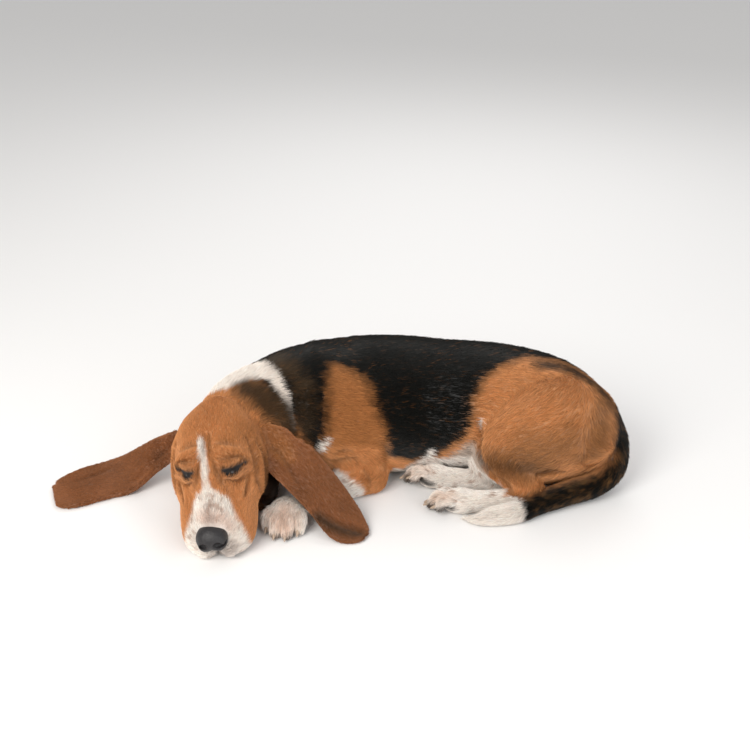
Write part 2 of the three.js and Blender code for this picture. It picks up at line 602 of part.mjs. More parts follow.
for (const [name, grid, colour] of parts) {
  const own = owners.filter((o) => o.part === name);
  const mine = share(name, [...made.keys()]);
  const low = [0, 1, 2].map((c) => Math.min(...own.map((o) => o.low[c])) - 20);
  const high = [0, 1, 2].map((c) => Math.max(...own.map((o) => o.high[c])) + 20);
  const samples = sampled((p) => Math.max(body(p), mine(p)), low, high, grid);
  const skin = thinned(surface(samples), SLACK);
  place(name, solid(skin), solid(grown(skin, CUT)), colour);
}

const group = new THREE.Group();
const all = new THREE.Box3();
for (const [name, { piece, colour }] of made) {
  const { points, triangles } = skinOf(piece);
  const geometry = new THREE.BufferGeometry();
  geometry.setAttribute("position", new THREE.BufferAttribute(new Float32Array(points.flat()), 3));
  geometry.setIndex(new THREE.BufferAttribute(new Uint32Array(triangles.flat()), 1));
  geometry.computeVertexNormals();
  const mesh = new THREE.Mesh(geometry, new THREE.MeshStandardMaterial({
    color: colours[colour],
    roughness: { eye: 0.12, leather: 0.4, horn: 0.45 }[colour] ?? 0.8,
    metalness: 0,
  }));
  mesh.name = name;
  group.add(mesh);
  all.expandByObject(mesh);
}
group.position.set(-(all.min.x + all.max.x) / 2, -(all.min.y + all.max.y) / 2, -all.min.z);

export default group;
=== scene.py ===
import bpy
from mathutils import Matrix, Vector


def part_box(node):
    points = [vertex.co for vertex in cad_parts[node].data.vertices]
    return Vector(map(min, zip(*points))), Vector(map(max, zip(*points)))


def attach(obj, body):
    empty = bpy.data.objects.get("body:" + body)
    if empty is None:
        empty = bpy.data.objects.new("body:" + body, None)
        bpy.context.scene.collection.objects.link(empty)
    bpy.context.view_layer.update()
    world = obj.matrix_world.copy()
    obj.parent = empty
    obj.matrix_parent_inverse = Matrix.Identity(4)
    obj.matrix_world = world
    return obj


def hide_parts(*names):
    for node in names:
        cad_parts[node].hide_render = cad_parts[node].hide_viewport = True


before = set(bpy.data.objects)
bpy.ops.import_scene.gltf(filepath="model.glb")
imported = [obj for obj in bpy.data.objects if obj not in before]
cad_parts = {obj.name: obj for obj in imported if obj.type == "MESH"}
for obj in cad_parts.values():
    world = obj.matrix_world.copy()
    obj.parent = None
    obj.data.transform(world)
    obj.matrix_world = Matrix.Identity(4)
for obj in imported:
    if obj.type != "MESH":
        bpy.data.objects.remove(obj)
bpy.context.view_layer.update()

import math

import bmesh
import bpy
import numpy as np
from mathutils import Vector

# --- Studio -----------------------------------------------------------------------------------
# The viewpoint of someone standing over the sleeping dog, about a metre and a half away and a
# metre up, looking down on its left side; three soft lights and a floor of pale paper.
MM = 0.001
NOSE_AT = np.array([-178.45, -151.99, 43.24])  # middle of the nose in the modelling frame, mm
ORIGIN = NOSE_AT - np.mean(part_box("nose"), 0) / MM  # the row's origin in the modelling frame
CAMERA_AT, CAMERA_DOWN = (50.0, -1500.0, 1040.0), 28.7  # mm in the modelling frame; degrees


def placed(p):
    """Modelling frame (millimetres) to the row's frame (metres): shift, then scale."""
    return (np.asarray(p, float) - ORIGIN) * MM


camera = bpy.data.cameras.new("viewer")
camera.sensor_width, camera.lens = 36.0, 57.0
viewer = bpy.data.objects.new("viewer", camera)
viewer.location = placed(CAMERA_AT)
viewer.rotation_euler = (math.radians(90 - CAMERA_DOWN), 0, 0)
bpy.context.scene.collection.objects.link(viewer)
bpy.context.scene.camera = viewer
bpy.context.scene.view_settings.view_transform = "Standard"


def softbox(name, at, aim, size, watts, colour):
    """A square area light of a size (m) and power at `at`, its -Z axis turned to run to `aim`."""
    lamp = bpy.data.lights.new(name, "AREA")
    lamp.size, lamp.energy, lamp.color = size, watts, colour
    box = bpy.data.objects.new(name, lamp)
    box.location = at
    box.rotation_euler = (Vector(aim) - box.location).to_track_quat("-Z", "Y").to_euler()
    bpy.context.scene.collection.objects.link(box)


softbox("key_softbox", (-1.0, -1.4, 1.5), (-0.05, 0, 0.08), 1.3, 38, (1.0, 0.97, 0.93))
softbox("fill_softbox", (1.4, -1.5, 0.9), (0.1, 0, 0.1), 1.6, 16, (0.97, 0.98, 1.0))
softbox("back_softbox", (0.4, 1.5, 1.5), (0, 0, 0.1), 1.2, 9, (1.0, 1.0, 1.0))
world = bpy.data.worlds.new("studio")
world.use_nodes = True
world.node_tree.nodes["Background"].inputs["Color"].default_value = (1, 1, 1, 1)
world.node_tree.nodes["Background"].inputs["Strength"].default_value = 0.55
bpy.context.scene.world = world

floor_mesh = bpy.data.meshes.new("studio_floor")
FLOOR_HALF = 6  # metres
floor_corners = [(FLOOR_HALF * x, FLOOR_HALF * y, 0) for x, y in ((-1, -1), (1, -1), (1, 1), (-1, 1))]
floor_mesh.from_pydata(floor_corners, [], [(0, 1, 2, 3)])
floor = bpy.data.objects.new("studio_floor", floor_mesh)
bpy.context.scene.collection.objects.link(floor)
paper = bpy.data.materials.new("pale_paper")
paper.use_nodes = True
paper.node_tree.nodes["Principled BSDF"].inputs["Base Color"].default_value = (0.9, 0.89, 0.88, 1)
paper.node_tree.nodes["Principled BSDF"].inputs["Roughness"].default_value = 0.9
floor_mesh.materials.append(paper)

# --- Hide -------------------------------------------------------------------------------------
# The dog's skin from nose to tail, one unbroken surface under the coat: a field of swept ovals
# (limbs, ears, tail) and egg shapes (skull, cheeks), blended where they meet, each drawn in by
# the depth of the coat that lies on it.
FLOOR_Z = 5.0  # height of the floor in the modelling frame: the soft body is pressed flat there
COAT_DEPTH = dict(trunk=4.0, neck=4.0, head=1.8, ear=1.3, tail=3.5, upper=3.2, lower=2.2,
                  thigh=3.4, shank=2.6, foot=1.8, paw=1.6, detail=0.0)


def unit(v):
    """Vectors over their length."""
    v = np.asarray(v, float)
    return v / np.maximum(np.linalg.norm(v, axis=-1, keepdims=True), 1e-12)


def smooth_rows(rows, steps):
    """Catmull-Rom: between rows b and c, with a before and d after, at share t of the way, half
    of 2b + (c-a)t + (2a-5b+4c-d)t^2 + (3b-a-3c+d)t^3; end rows are mirrored outwards."""
    q = np.vstack([2 * rows[0] - rows[1], rows, 2 * rows[-1] - rows[-2]])
    t = np.linspace(0, 1, steps, endpoint=False)[:, None]
    out = [0.5 * (2 * b + (c - a) * t + (2 * a - 5 * b + 4 * c - d) * t**2
                  + (3 * b - a - 3 * c + d) * t**3)
           for a, b, c, d in zip(q[:-3], q[1:-2], q[2:-1], q[3:])]
    return np.vstack(out + [rows[-1:]])


def oval_distance(q, radii):
    """Distance to an ellipse or ellipsoid: with k the length of q/r and g the length of q/r^2,
    k(k-1)/g, exact on the surface."""
    k = np.sqrt(((q / radii) ** 2).sum(1))
    g = np.sqrt(((q / radii**2) ** 2).sum(1))
    return np.where(k < 1e-3, -radii.min(), k * (k - 1) / np.maximum(g, 1e-9))


def depth_on(part):
    """Depth of the coat on a part, by the last or first word of its name."""
    first, last = part.split("_")[0], part.split("_")[-1]
    return COAT_DEPTH.get(last, COAT_DEPTH.get(first))


class Limb:
    """An oval swept along a smooth curve: half width `wide` along `side`, half thickness across,
    or for a leaf a flat strip with round rims. `lie` is +1 where the hair runs with the curve and
    -1 against it; `groove` cuts."""

    def __init__(self, part, points, radii, side=(1, 0, 0), blend=12, steps=4, lie=1, groove=False,
                 leaf=False):
        self.part, self.blend, self.lie, self.groove, self.leaf = part, blend, lie, groove, leaf
        radii = np.array([r if np.ndim(r) else (r, r) for r in radii], float)
        side = unit(np.broadcast_to(np.array(side, float), (len(points), 3)))
        rows = smooth_rows(np.hstack([np.array(points, float), radii, side]), steps)
        self.at, self.side = rows[:, :3], unit(rows[:, 5:8])
        self.radii = np.maximum(rows[:, 3:5] - depth_on(part), 0.6)
        self.round = np.allclose(self.radii[:, 0], self.radii[:, 1])
        reach = self.radii.max(1)[:, None]
        self.low, self.high = (self.at - reach).min(0), (self.at + reach).max(0)

    def nearest(self, p):
        """Distance of each point, and the curve's direction at its nearest place: the least over
        the straight spans, of the distance from the span's own oval at the foot of the
        perpendicular, width and thickness running evenly along it."""
        best, way = np.full(len(p), 1e9), np.zeros((len(p), 3))
        for a, b, ra, rb, sa, sb in zip(self.at[:-1], self.at[1:], self.radii[:-1],
                                        self.radii[1:], self.side[:-1], self.side[1:]):
            v = b - a
            t = np.clip((p - a) @ v / max(v @ v, 1e-9), 0, 1)[:, None]
            q, r = p - a - t * v, ra + (rb - ra) * t
            if self.round:
                d = np.sqrt((q * q).sum(1)) - r[:, 0]
            else:
                along = unit(v)
                s = sa + (sb - sa) * t
                s = unit(s - (s @ along)[:, None] * along)
                x = (q * s).sum(1)
                y = np.sqrt(np.maximum((q * q).sum(1) - x * x, 0))
                if self.leaf:
                    d = np.hypot(np.maximum(np.abs(x) - r[:, 0] + r[:, 1], 0), y) - r[:, 1]
                else:
                    k = np.hypot(x / r[:, 0], y / r[:, 1])
                    g = np.hypot(x / r[:, 0] ** 2, y / r[:, 1] ** 2)
                    d = np.where(k < 1e-3, -r.min(1), k * (k - 1) / np.maximum(g, 1e-9))
            way[d < best] = unit(v) * self.lie
            best = np.minimum(best, d)
        return best, way


class Egg:
    """An ellipsoid: centre, radii along three axes, and the way the hair runs over it."""

    def __init__(self, part, centre, radii, axes=np.eye(3), blend=12, lie=(1, 0, 0)):
        self.part, self.blend, self.groove = part, blend, False
        self.centre, self.axes, self.way = np.array(centre, float), unit(axes), unit(lie)
        self.radii = np.array(radii, float) - depth_on(part)
        reach = np.sqrt(((self.axes * self.radii[:, None]) ** 2).sum(0))
        self.low, self.high = self.centre - reach, self.centre + reach

    def nearest(self, p):
        """The ellipsoid's distance in its own axes, and its one hair direction."""
        d = oval_distance((p - self.centre) @ self.axes.T, self.radii)
        return d, np.broadcast_to(self.way, p.shape)


def body(p, shapes):
    """The blended field: shapes join by min(a,b) - h^2 k/4 with h the shortfall of |a-b| from
    the blend k, over k; a groove is cut by the same blend of the field's opposite."""
    f = np.full(len(p), 60.0)
    for s in shapes:
        near = ((p > s.low - s.blend - 18) & (p < s.high + s.blend + 18)).all(1)
        if near.any():
            d, a = s.nearest(p[near])[0], f[near]
            a = -a if s.groove else a
            h = np.maximum(s.blend - np.abs(a - d), 0) / s.blend
            f[near] = (np.minimum(a, d) - h * h * s.blend / 4) * (-1 if s.groove else 1)
    return f


def rolled(*turns):
    """The barrel's broad axis at each station: rolled from upright by so many degrees, leaning
    along the body by the second number."""
    return [(x, math.sin(math.radians(a)), math.cos(math.radians(a))) for a, x in turns]


CHEST, LOIN = 110, 100
flesh = [
    Limb("trunk", [(-62, 98, 104), (5, 112, 104), (80, 122, 102), (160, 126, 99),
                   (238, 118, 101), (304, 94, 99), (348, 68, 94)],
         [(92, 84), (CHEST - 2, 96), (CHEST, 98), (CHEST - 5, 97), (LOIN, 96), (95, 93), (76, 82)],
         side=rolled((38, 0), (44, 0), (50, 0), (57, 0), (62, 0), (66, 0.2), (68, 0.4)), blend=20),
    Limb("foreleg_left_upper", [(-12, 98, 172), (-8, 62, 128), (6, 42, 84), (34, 34, 42)],
         [(46, 26), (50, 32), (44, 32), (32, 28)], side=(1, 0.1, -0.2), blend=22),
    Limb("foreleg_left_lower", [(42, 28, 27), (0, 2, 28), (-50, -34, 26)], [29, 25, 22], blend=14),
    Limb("foreleg_right_upper", [(-20, 176, 110), (-4, 196, 70), (10, 200, 34)], [44, 38, 30], blend=22),
    Limb("foreleg_right_lower", [(12, 196, 29), (-45, 178, 28), (-100, 158, 25)], [28, 24, 21], blend=14),
    Limb("neck", [(-48, 100, 112), (-102, 92, 112), (-146, 66, 106), (-170, 22, 90)],
         [92, 78, 72, 60], blend=26, lie=-1),
    Limb("neck", [(-150, 30, 60), (-172, -10, 40), (-176, -50, 30)], [52, 46, 38], blend=24, lie=-1),
    Limb("neck", [(-140, 30, 50), (-128, -18, 34)], [50, 33], blend=8, lie=-1),
    Limb("hindleg_left_thigh", [(342, 52, 112), (312, 32, 108), (268, 22, 96), (238, 24, 78)],
         [(74, 56), (78, 56), (62, 46), (40, 38)], side=(0.3, 0.3, 0.9), blend=14),
    Limb("hindleg_left_thigh", [(298, 20, 50), (345, 38, 53), (378, 50, 62)], [30, 34, 30],
         blend=14, lie=-1),
    Limb("hindleg_left_shank", [(242, 22, 70), (262, 0, 50), (282, -18, 32)], [40, 30, 22]),
    Limb("hindleg_left_foot", [(286, -20, 28), (266, -28, 24), (226, -32, 22), (188, -32, 21)],
         [22, 19, 17, 18], blend=8),
    Limb("hindleg_right_thigh", [(334, 94, 62), (292, 68, 52), (256, 56, 46)], [62, 48, 36], blend=16),
    Limb("hindleg_right_shank", [(232, 44, 40), (262, 34, 32), (290, 30, 26)], [38, 29, 21]),
    Limb("hindleg_right_foot", [(292, 30, 24), (250, 26, 23), (200, 26, 22), (160, 28, 22)],
         [20, 18, 17, 18], blend=8),
    Limb("tail", [(364, 68, 138), (392, 64, 114), (413, 51, 78), (412, 27, 46), (386, 4, 30),
                  (342, -15, 25), (296, -37, 22), (262, -56, 20), (228, -65, 18), (204, -67, 14),
                  (184, -58, 8)],
         [34, 29, 26, 23, 21, 20, 18.5, 18, 16, 10, 3.5], blend=4, steps=5),
]

# The head is shaped in its own frame: forward down the muzzle, to its left, up.
HEAD_AT, HEAD_ROLL = np.array([-181, -34, 115.0]), math.radians(9)
forward = unit([0.035, -0.872, -0.485])
level = unit(np.cross([0, 0, 1], forward))
upright = np.cross(forward, level)
leftward = unit(level * math.cos(HEAD_ROLL) + upright * math.sin(HEAD_ROLL))
upward = unit(upright * math.cos(HEAD_ROLL) - level * math.sin(HEAD_ROLL))
head_axes = np.stack([forward, leftward, upward])


def on_head(points, mirror=1):
    """Head frame to modelling frame, mirrored to the head's right for mirror -1."""
    return HEAD_AT + np.array(points, float) * (1, mirror, 1) @ head_axes


def head_limb(points, radii, blend, mirror=1):
    """A limb given in the head's frame; its hair runs back from the nose."""
    return Limb("head", on_head(points, mirror), radii, side=leftward, blend=blend, lie=-1)


def head_egg(centre, radii, blend, mirror=1, back=(-1, 0, 0)):
    """An egg given in the head's frame; `back` is the way its hair runs there."""
    way = np.array(back, float) * (1, mirror, 1) @ head_axes
    return Egg("head", on_head(centre, mirror), radii, head_axes, blend, way)


# Skull and stop; bridge and sides of the muzzle; hanging lips; cheeks; jaw; brows; throat; ears.
flesh += [
    head_egg((-3, 0, 6), (65, 59, 54), 20),
    head_egg((-50, 5, 19), (22, 21, 20), 24),
    head_egg((36, 0, 20), (42, 40, 34), 20),
    head_limb([(56, 0, 16), (98, 0, 6), (124, 0, -1)], [(28, 22), (24, 20), (20, 15)], 18),
    *[head_limb([(66, 24, 2), (98, 24, -6), (122, 20, -11)], [11, 12, 11], 14, m) for m in (1, -1)],
    *[head_limb([(52, 37, -20), (90, 38, -30), (122, 33, -33), (143, 17, -28)],
                [(17, 32), (18, 32), (18, 26), (15, 15.5)], 14, m) for m in (1, -1)],
    *[head_egg((14, 49, -24), (56, 22, 44), 16, m, (-0.8, 0.1, -0.6)) for m in (1, -1)],
    head_limb([(20, 0, -40), (80, 0, -46), (126, 0, -38)], [34, 26, 16], 14),
    *[head_limb([(44, 12, 43), (32, 22, 45), (31, 37, 35), (35, 48, 22)], [8, 9, 9, 8], 7, m)
      for m in (1, -1)],
    head_egg((-30, 0, -46), (62, 50, 46), 20),
    Limb("ear_left", [(-117, 2, 118), (-95, -14, 105), (-59, -34, 79), (-24, -58, 48), (5, -85, 20),
                      (24.5, -98, 9.6), (33, -103, 9.6)],
         [(20, 6), (34, 5), (37, 5), (36, 5), (35, 5), (25, 5), (13, 4.6)],
         side=[(0.2, 0.5, 0.85), (0.5, 0.6, 0.6), (0.52, 0.7, 0.45), (0.45, 0.8, 0.35),
               (0.5, 0.8, 0.2), (0.5, 0.8, 0.1), (0.5, 0.8, 0.1)], blend=6, leaf=True),
    Limb("ear_right", [(-244, 18, 96), (-266, 27, 76), (-298, 48, 44), (-331, 47, 20), (-362, 43, 11),
                       (-391, 28, 9.6), (-417, 6, 9.6), (-434, -1, 9.6)],
         [(18, 6), (24, 5.5), (32, 5), (45, 5), (49, 5), (49, 5), (42, 5), (30, 4.6)],
         side=[(0, 0.3, 0.95), (-0.1, 0.65, 0.75), (-0.1, 0.85, 0.5), (-0.15, 1, 0.2),
               (-0.2, 1, 0.04), (-0.2, 1, 0), (-0.25, 1, 0), (-0.25, 1, 0)], blend=6, leaf=True),
]

# Paws: a pad and four toes side by side, each toe arched and ending over its claw. A toe's place
# across the paw, its reach and its thickness are shares of the paw's half width and length.
TOES = ((-0.74, 0.72, 0.36), (-0.26, 1.0, 0.38), (0.26, 1.0, 0.38), (0.74, 0.72, 0.36))
paw_frames = {}
for part, at, ahead, above, half, long in (
    ("paw_front_left", (-78, -57, 24), (-0.18, -0.97, -0.08), (0, 0, 1), 32, 44),
    ("paw_front_right", (-132, 148, 22.5), (-0.95, -0.3, 0), (0, 0, 1), 32, 44),
    ("paw_hind_left", (180, -31, 21), (-1, 0.14, 0), (0, 0.3, 0.95), 27, 42),
    ("paw_hind_right", (146, 30, 24), (-1, 0.2, 0), (0, 0.6, 0.8), 27, 42),
):
    f = unit(ahead)
    u = unit(np.array(above) - np.dot(above, f) * f)
    s = np.cross(u, f)
    paw_frames[part] = (np.array(at, float), f, s, u, half, long)
    spot = lambda x, y, z: np.array(at) + f * x + s * y + u * z
    flesh.append(Egg(part, spot(4, 0, 0), (26, half * 0.86, 19), (f, s, u), 8, f))
    for across, reach, fat in TOES:
        y = across * half
        flesh.append(Limb(part, [spot(12, y * 0.9, 3), spot(long * 0.62 * reach + 6, y, 4),
                                 spot(long * reach, y, -4)],
                          [fat * half * 0.95, fat * half, fat * half * 0.86], blend=2.5))
CAD_FLESH = list(flesh)


def outward(p, shapes):
    """The field's slope, by differences over half a millimetre, made unit length."""
    f = body(p, shapes)
    return unit(np.stack([body(p + step, shapes) - f for step in np.eye(3) * 0.5], 1)), f


def settled(points, shapes, rounds=8):
    """Points slid along the slope by the field's value, over and over, on to the surface."""
    p = np.atleast_2d(np.asarray(points, float)).copy()
    for _ in range(rounds):
        n, f = outward(p, shapes)
        p -= n * f[:, None]
    return p, outward(p, shapes)[0]


# Eyes half shut: a low dome of lids over each ball, with a roll of the upper lid above and the
# slack lower lid below, open along a slit that droops towards the muzzle.
EYEBALL, EYE_SUNK = 11.2, 10.8  # radius of the ball, and its middle's depth under the skin
SLIT_HALF = [1.8, 4.8, 5.4, 4.0, 1.4]
SLIT = ((61, 24, 42), (61, 30, 37), (58, 37, 33), (52, 45, 30), (45, 52, 25))
sockets = []
for mirror in (1, -1):
    seat, out = settled(on_head([(55, 32, 22)], mirror), CAD_FLESH)
    centre = seat[0] - out[0] * EYE_SUNK
    flesh.append(Egg("detail", centre + out[0], (12.4,) * 3, blend=7, lie=-forward))
    slit = settled(on_head(SLIT, mirror), flesh)[0]
    above = settled(on_head(np.array(SLIT) + (-8, 1, 9), mirror), flesh)[0]
    below = settled(on_head(np.array(SLIT) + (5, 0, -7), mirror), flesh)[0]
    flesh.append(Limb("detail", above - out[0] * 0.6, [1.5, 3.6, 4.2, 3.6, 1.5], blend=3, lie=-1))
    flesh.append(Limb("detail", below - out[0] * 0.8, [1.2, 2.4, 2.8, 2.4, 1.2], blend=3, lie=-1))
    flesh.append(Limb("detail", slit + out[0] * 1.5, SLIT_HALF, blend=2, groove=True))
    sockets.append(dict(centre=centre, out=out[0], slit=slit))

# Wrinkles and folds of loose skin, as grooves along the surface: forehead, brows, cheeks, lips,
# neck, elbow and the fold down each ear. Each has its path, its half width and its depth.
creases = []


def crease(points, width, depth, on_face=True, mirror=1, blend=None):
    """A groove along the surface: the smoothed path is settled on it, and a round tool of the
    width runs there, its middle above the surface by width minus depth."""
    path = on_head(points, mirror) if on_face else np.array(points, float)
    path, out = settled(smooth_rows(path, 3), CAD_FLESH)
    path = path + out * (width - depth)
    taper = np.interp(np.linspace(0, 1, len(path)), (0, 0.3, 0.7, 1), (0.55, 1, 1, 0.55)) * width
    flesh.append(Limb("detail", path, list(taper), blend=blend or 1.6 * width, steps=1, groove=True))
    creases.append(flesh[-1])


# Brows and lids, forehead, cheeks, and the notch under the nose.
for m in (1, -1):
    crease([(38, 10, 52), (55, 11, 47), (66, 14, 41), (76, 20, 33), (80, 28, 24)], 3.4, 2.2, mirror=m)
    crease([(47, 18, 50), (45, 28, 46), (42, 39, 40), (39, 48, 33), (38, 55, 22)], 2.6, 1.9, mirror=m)
    crease([(24, 14, 56), (22, 28, 52), (23, 42, 42)], 3.2, 2.2, mirror=m)
    crease([(8, 3, 60), (30, 4, 57), (50, 6, 50)], 3.6, 2.3, mirror=m)
    crease([(70, 22, 30), (66, 38, 18), (56, 50, 10), (48, 56, 2)], 2.8, 2.4, mirror=m)
    crease([(50, 52, 8), (67, 46, 0), (82, 41, -4)], 3.0, 2.7, mirror=m)
    crease([(4, 52, 30), (22, 58, 16), (42, 59, 6), (60, 58, -6)], 3.6, 3.3, mirror=m)
    crease([(10, 58, 19), (28, 61, 6), (54, 61, -8), (63, 58, -34)], 4.0, 4.3, mirror=m)
    crease([(3, 62, 12), (15, 65, -9), (32, 67, -22), (52, 62, -40)], 4.0, 4.1, mirror=m)
    crease([(157, 0, -22), (158, 0, -30), (150, 0, -40)], 2.0, 1.2, mirror=m)
# Neck, elbow, flank, and the folds of thigh and hock.
crease([(-75, 36, 160), (-71, 25, 137), (-65, 12, 113), (-62, 2, 100)], 9, 9.1, False, blend=10)
crease([(-56, 38, 170), (-57, 17, 142), (-63, 8, 107)], 6, 5.6, False, blend=7)
crease([(-42, 36, 168), (-42, 17, 133), (-54, -2, 104)], 5, 4.6, False, blend=7)
crease([(-31, 32, 168), (-35, 12, 127), (-45, 8, 92)], 6, 5.6, False, blend=8)
crease([(-20, 10, 68), (-12, 10, 66), (5, 8, 72), (20, 9, 73)], 4.0, 4.1, False)
crease([(-18, 8, 81), (-3, 7, 85), (12, 10, 86)], 3.4, 3.1, False)
crease([(34, 8, 52), (44, 3, 40), (46, 0, 28)], 4.0, 3.5, False)
crease([(60, 24, 84), (64, 24, 66), (66, 24, 46)], 6, 4.1, False, blend=9)
crease([(204, 24, 124), (206, 20, 104), (214, 8, 80), (226, -4, 64)], 6, 6.1, False, blend=8)
crease([(224, -6, 60), (240, -20, 50), (252, -34, 42), (262, -42, 36)], 4.0, 4.1, False)
crease([(298, -28, 60), (318, -24, 58), (340, -16, 54)], 7, 7.1, False, blend=6)

# The left ear's front margin is turned under near its root and its lower rim is rolled; the
# right ear is folded lengthwise where it leaves the head.
crease([(-110, -18, 134), (-96, -27, 116), (-82, -37, 98), (-70, -48, 80), (-62, -56, 68)], 4, 1.5, False)
crease([(-36, -84, 54), (-16, -91, 44), (8, -96, 32), (30, -100, 24)], 5, 1.5, False)
crease([(-256, 10, 104), (-274, 14, 84), (-300, 24, 58), (-324, 16, 34)], 5, 1.5, False)
crease([(-362, 66, 26), (-384, 52, 24), (-408, 34, 22)], 4, 0.8, False)


def box_samples(shapes, low, high, h):
    """The field on a grid, worked out only near the surface: a grid four times coarser finds
    where, and far from it its value stands."""
    n = np.ceil((high - low) / h).astype(int) + 1
    wide = np.ceil(n / 4).astype(int)
    coarse = np.stack(np.meshgrid(*[np.arange(k) for k in wide], indexing="ij"), -1).reshape(-1, 3)
    f = body(low + (coarse * 4 + 1.5) * h, shapes).reshape(wide)
    for axis in range(3):
        f = np.repeat(f, 4, axis)
    f = f[: n[0], : n[1], : n[2]].copy()
    near = np.abs(f) < 3.2 * h + 4
    at = low + np.argwhere(near) * h
    f[near] = body(at, shapes)
    heights = low[2] + np.arange(n[2]) * h
    f = np.maximum(f, (FLOOR_Z + 0.3 - heights)[None, None, :])
    for side in (0, -1):
        f[side], f[:, side], f[:, :, side] = 1, 1, 1
    return f


def net(f, low, h):
    """Surface nets: a vertex in each cell the surface crosses, at the mean of its edge crossings;
    a square for each grid edge crossed, turned so that it faces outwards."""
    corner = [(i, j, k) for i in (0, 1) for j in (0, 1) for k in (0, 1)]
    n = np.array(f.shape) - 1
    part_of = lambda a, c: a[c[0]: c[0] + n[0], c[1]: c[1] + n[1], c[2]: c[2] + n[2]]
    inside = f < 0
    count = sum(part_of(inside, c).astype(np.int8) for c in corner)
    cells = np.argwhere((count > 0) & (count < 8))
    number = np.full(count.shape, -1)
    number[tuple(cells.T)] = np.arange(len(cells))
    total, crossings = np.zeros((len(cells), 3)), np.zeros(len(cells))
    value = {c: f[tuple((cells + c).T)] for c in corner}
    for a in corner:
        for axis in range(3):
            if a[axis] == 0:
                b = tuple(1 if i == axis else a[i] for i in range(3))
                fa, fb = value[a], value[b]
                cut = (fa < 0) != (fb < 0)
                t = np.where(cut, fa / np.where(cut, fa - fb, 1), 0)
                spot = np.array(a, float) + t[:, None] * np.eye(3)[axis]
                total += np.where(cut[:, None], spot, 0)
                crossings += cut
    squares = []
    for axis in range(3):
        u, w = (axis + 1) % 3, (axis + 2) % 3
        ahead = np.roll(inside, -1, axis)
        edge = np.argwhere((inside != ahead)[1:-1, 1:-1, 1:-1]) + 1
        step = np.eye(3, dtype=int)
        at = lambda a, b: number[tuple((edge - a * step[u] - b * step[w]).T)]
        square = np.stack([at(1, 1), at(0, 1), at(0, 0), at(1, 0)], 1)
        out = inside[tuple(edge.T)][:, None]
        squares.append(np.where(out, square, square[:, ::-1]))
    return low + h * (cells + total / crossings[:, None]), np.vstack(squares)


HIDE_GRID, HIDE_TRIANGLES = 3.0, 190000
low = np.min([s.low for s in flesh], 0) - 9
high = np.max([s.high for s in flesh], 0) + 9
low[2] = -10
points, squares = net(box_samples(flesh, low, high, HIDE_GRID), low, HIDE_GRID)


def refined(points, faces, where):
    """Faces whose corners all lie `where` is true are split at the middle of every edge, and
    their neighbours are fitted to them; all faces come back as triangles."""
    bm = bmesh.new()
    corners = [bm.verts.new(p) for p in points]
    for face in faces:
        bm.faces.new([corners[i] for i in face])
    bm.verts.index_update()
    fine = [f for f in bm.faces if all(where[v.index] for v in f.verts)]
    edges = list({e for f in fine for e in f.edges})
    bmesh.ops.subdivide_edges(bm, edges=edges, cuts=1, use_grid_fill=True)
    bmesh.ops.triangulate(bm, faces=bm.faces)
    bm.verts.index_update()
    new_points = np.array([v.co[:] for v in bm.verts])
    new_faces = np.array([[v.index for v in f.verts] for f in bm.faces])
    bm.free()
    return new_points, new_faces


def lightened(points, triangles, most):
    """Edges are collapsed, those on the flattest skin first, until `most` triangles are left."""
    mesh = bpy.data.meshes.new("dense_hide")
    mesh.from_pydata(points, [], triangles)
    dense = bpy.data.objects.new("dense_hide", mesh)
    bpy.context.scene.collection.objects.link(dense)
    dense.modifiers.new("collapse", "DECIMATE").ratio = most / len(triangles)
    light = bpy.data.meshes.new_from_object(dense.evaluated_get(bpy.context.evaluated_depsgraph_get()))
    co, corner = np.empty(len(light.vertices) * 3), np.empty(len(light.loops), np.int32)
    light.vertices.foreach_get("co", co)
    light.loops.foreach_get("vertex_index", corner)
    bpy.data.objects.remove(dense)
    bpy.data.meshes.remove(mesh)
    bpy.data.meshes.remove(light)
    return co.reshape(-1, 3), corner.reshape(-1, 3)


# The face and the paws in view get the finer mesh.
in_head = (points - HEAD_AT) @ head_axes.T
fine = (in_head[:, 0] > -6) & (in_head[:, 0] < 170) & (np.abs(in_head[:, 1]) < 75) & (points[:, 1] < 5)
for name in ("paw_front_left", "paw_hind_left", "paw_hind_right"):
    at, f = paw_frames[name][:2]
    fine |= np.linalg.norm(points - at - f * 18, axis=1) < 48
points, triangles = refined(points, squares, fine & (points[:, 2] > FLOOR_Z + 2))
points, triangles = lightened(points, triangles, HIDE_TRIANGLES)
for _ in range(2):
    slope, off = outward(points, flesh)
    points -= slope * np.clip(off, -2, 2)[:, None]
points[:, 2] = np.maximum(points[:, 2], FLOOR_Z + 0.3)


def mesh_object(name, points, faces, material, smooth=True):
    """A mesh object at the origin from arrays of points (modelling frame) and faces."""
    mesh = bpy.data.meshes.new(name)
    points, faces = placed(points), np.asarray(faces)
    mesh.vertices.add(len(points))
    mesh.vertices.foreach_set("co", points.ravel())
    mesh.loops.add(faces.size)
    mesh.loops.foreach_set("vertex_index", faces.ravel())
    mesh.polygons.add(len(faces))
    mesh.polygons.foreach_set("loop_start", np.arange(len(faces)) * faces.shape[1])
    mesh.polygons.foreach_set("use_smooth", np.full(len(faces), smooth))
    mesh.update(calc_edges=True)
    mesh.materials.append(material)
    made = bpy.data.objects.new(name, mesh)
    bpy.context.scene.collection.objects.link(made)
    return made


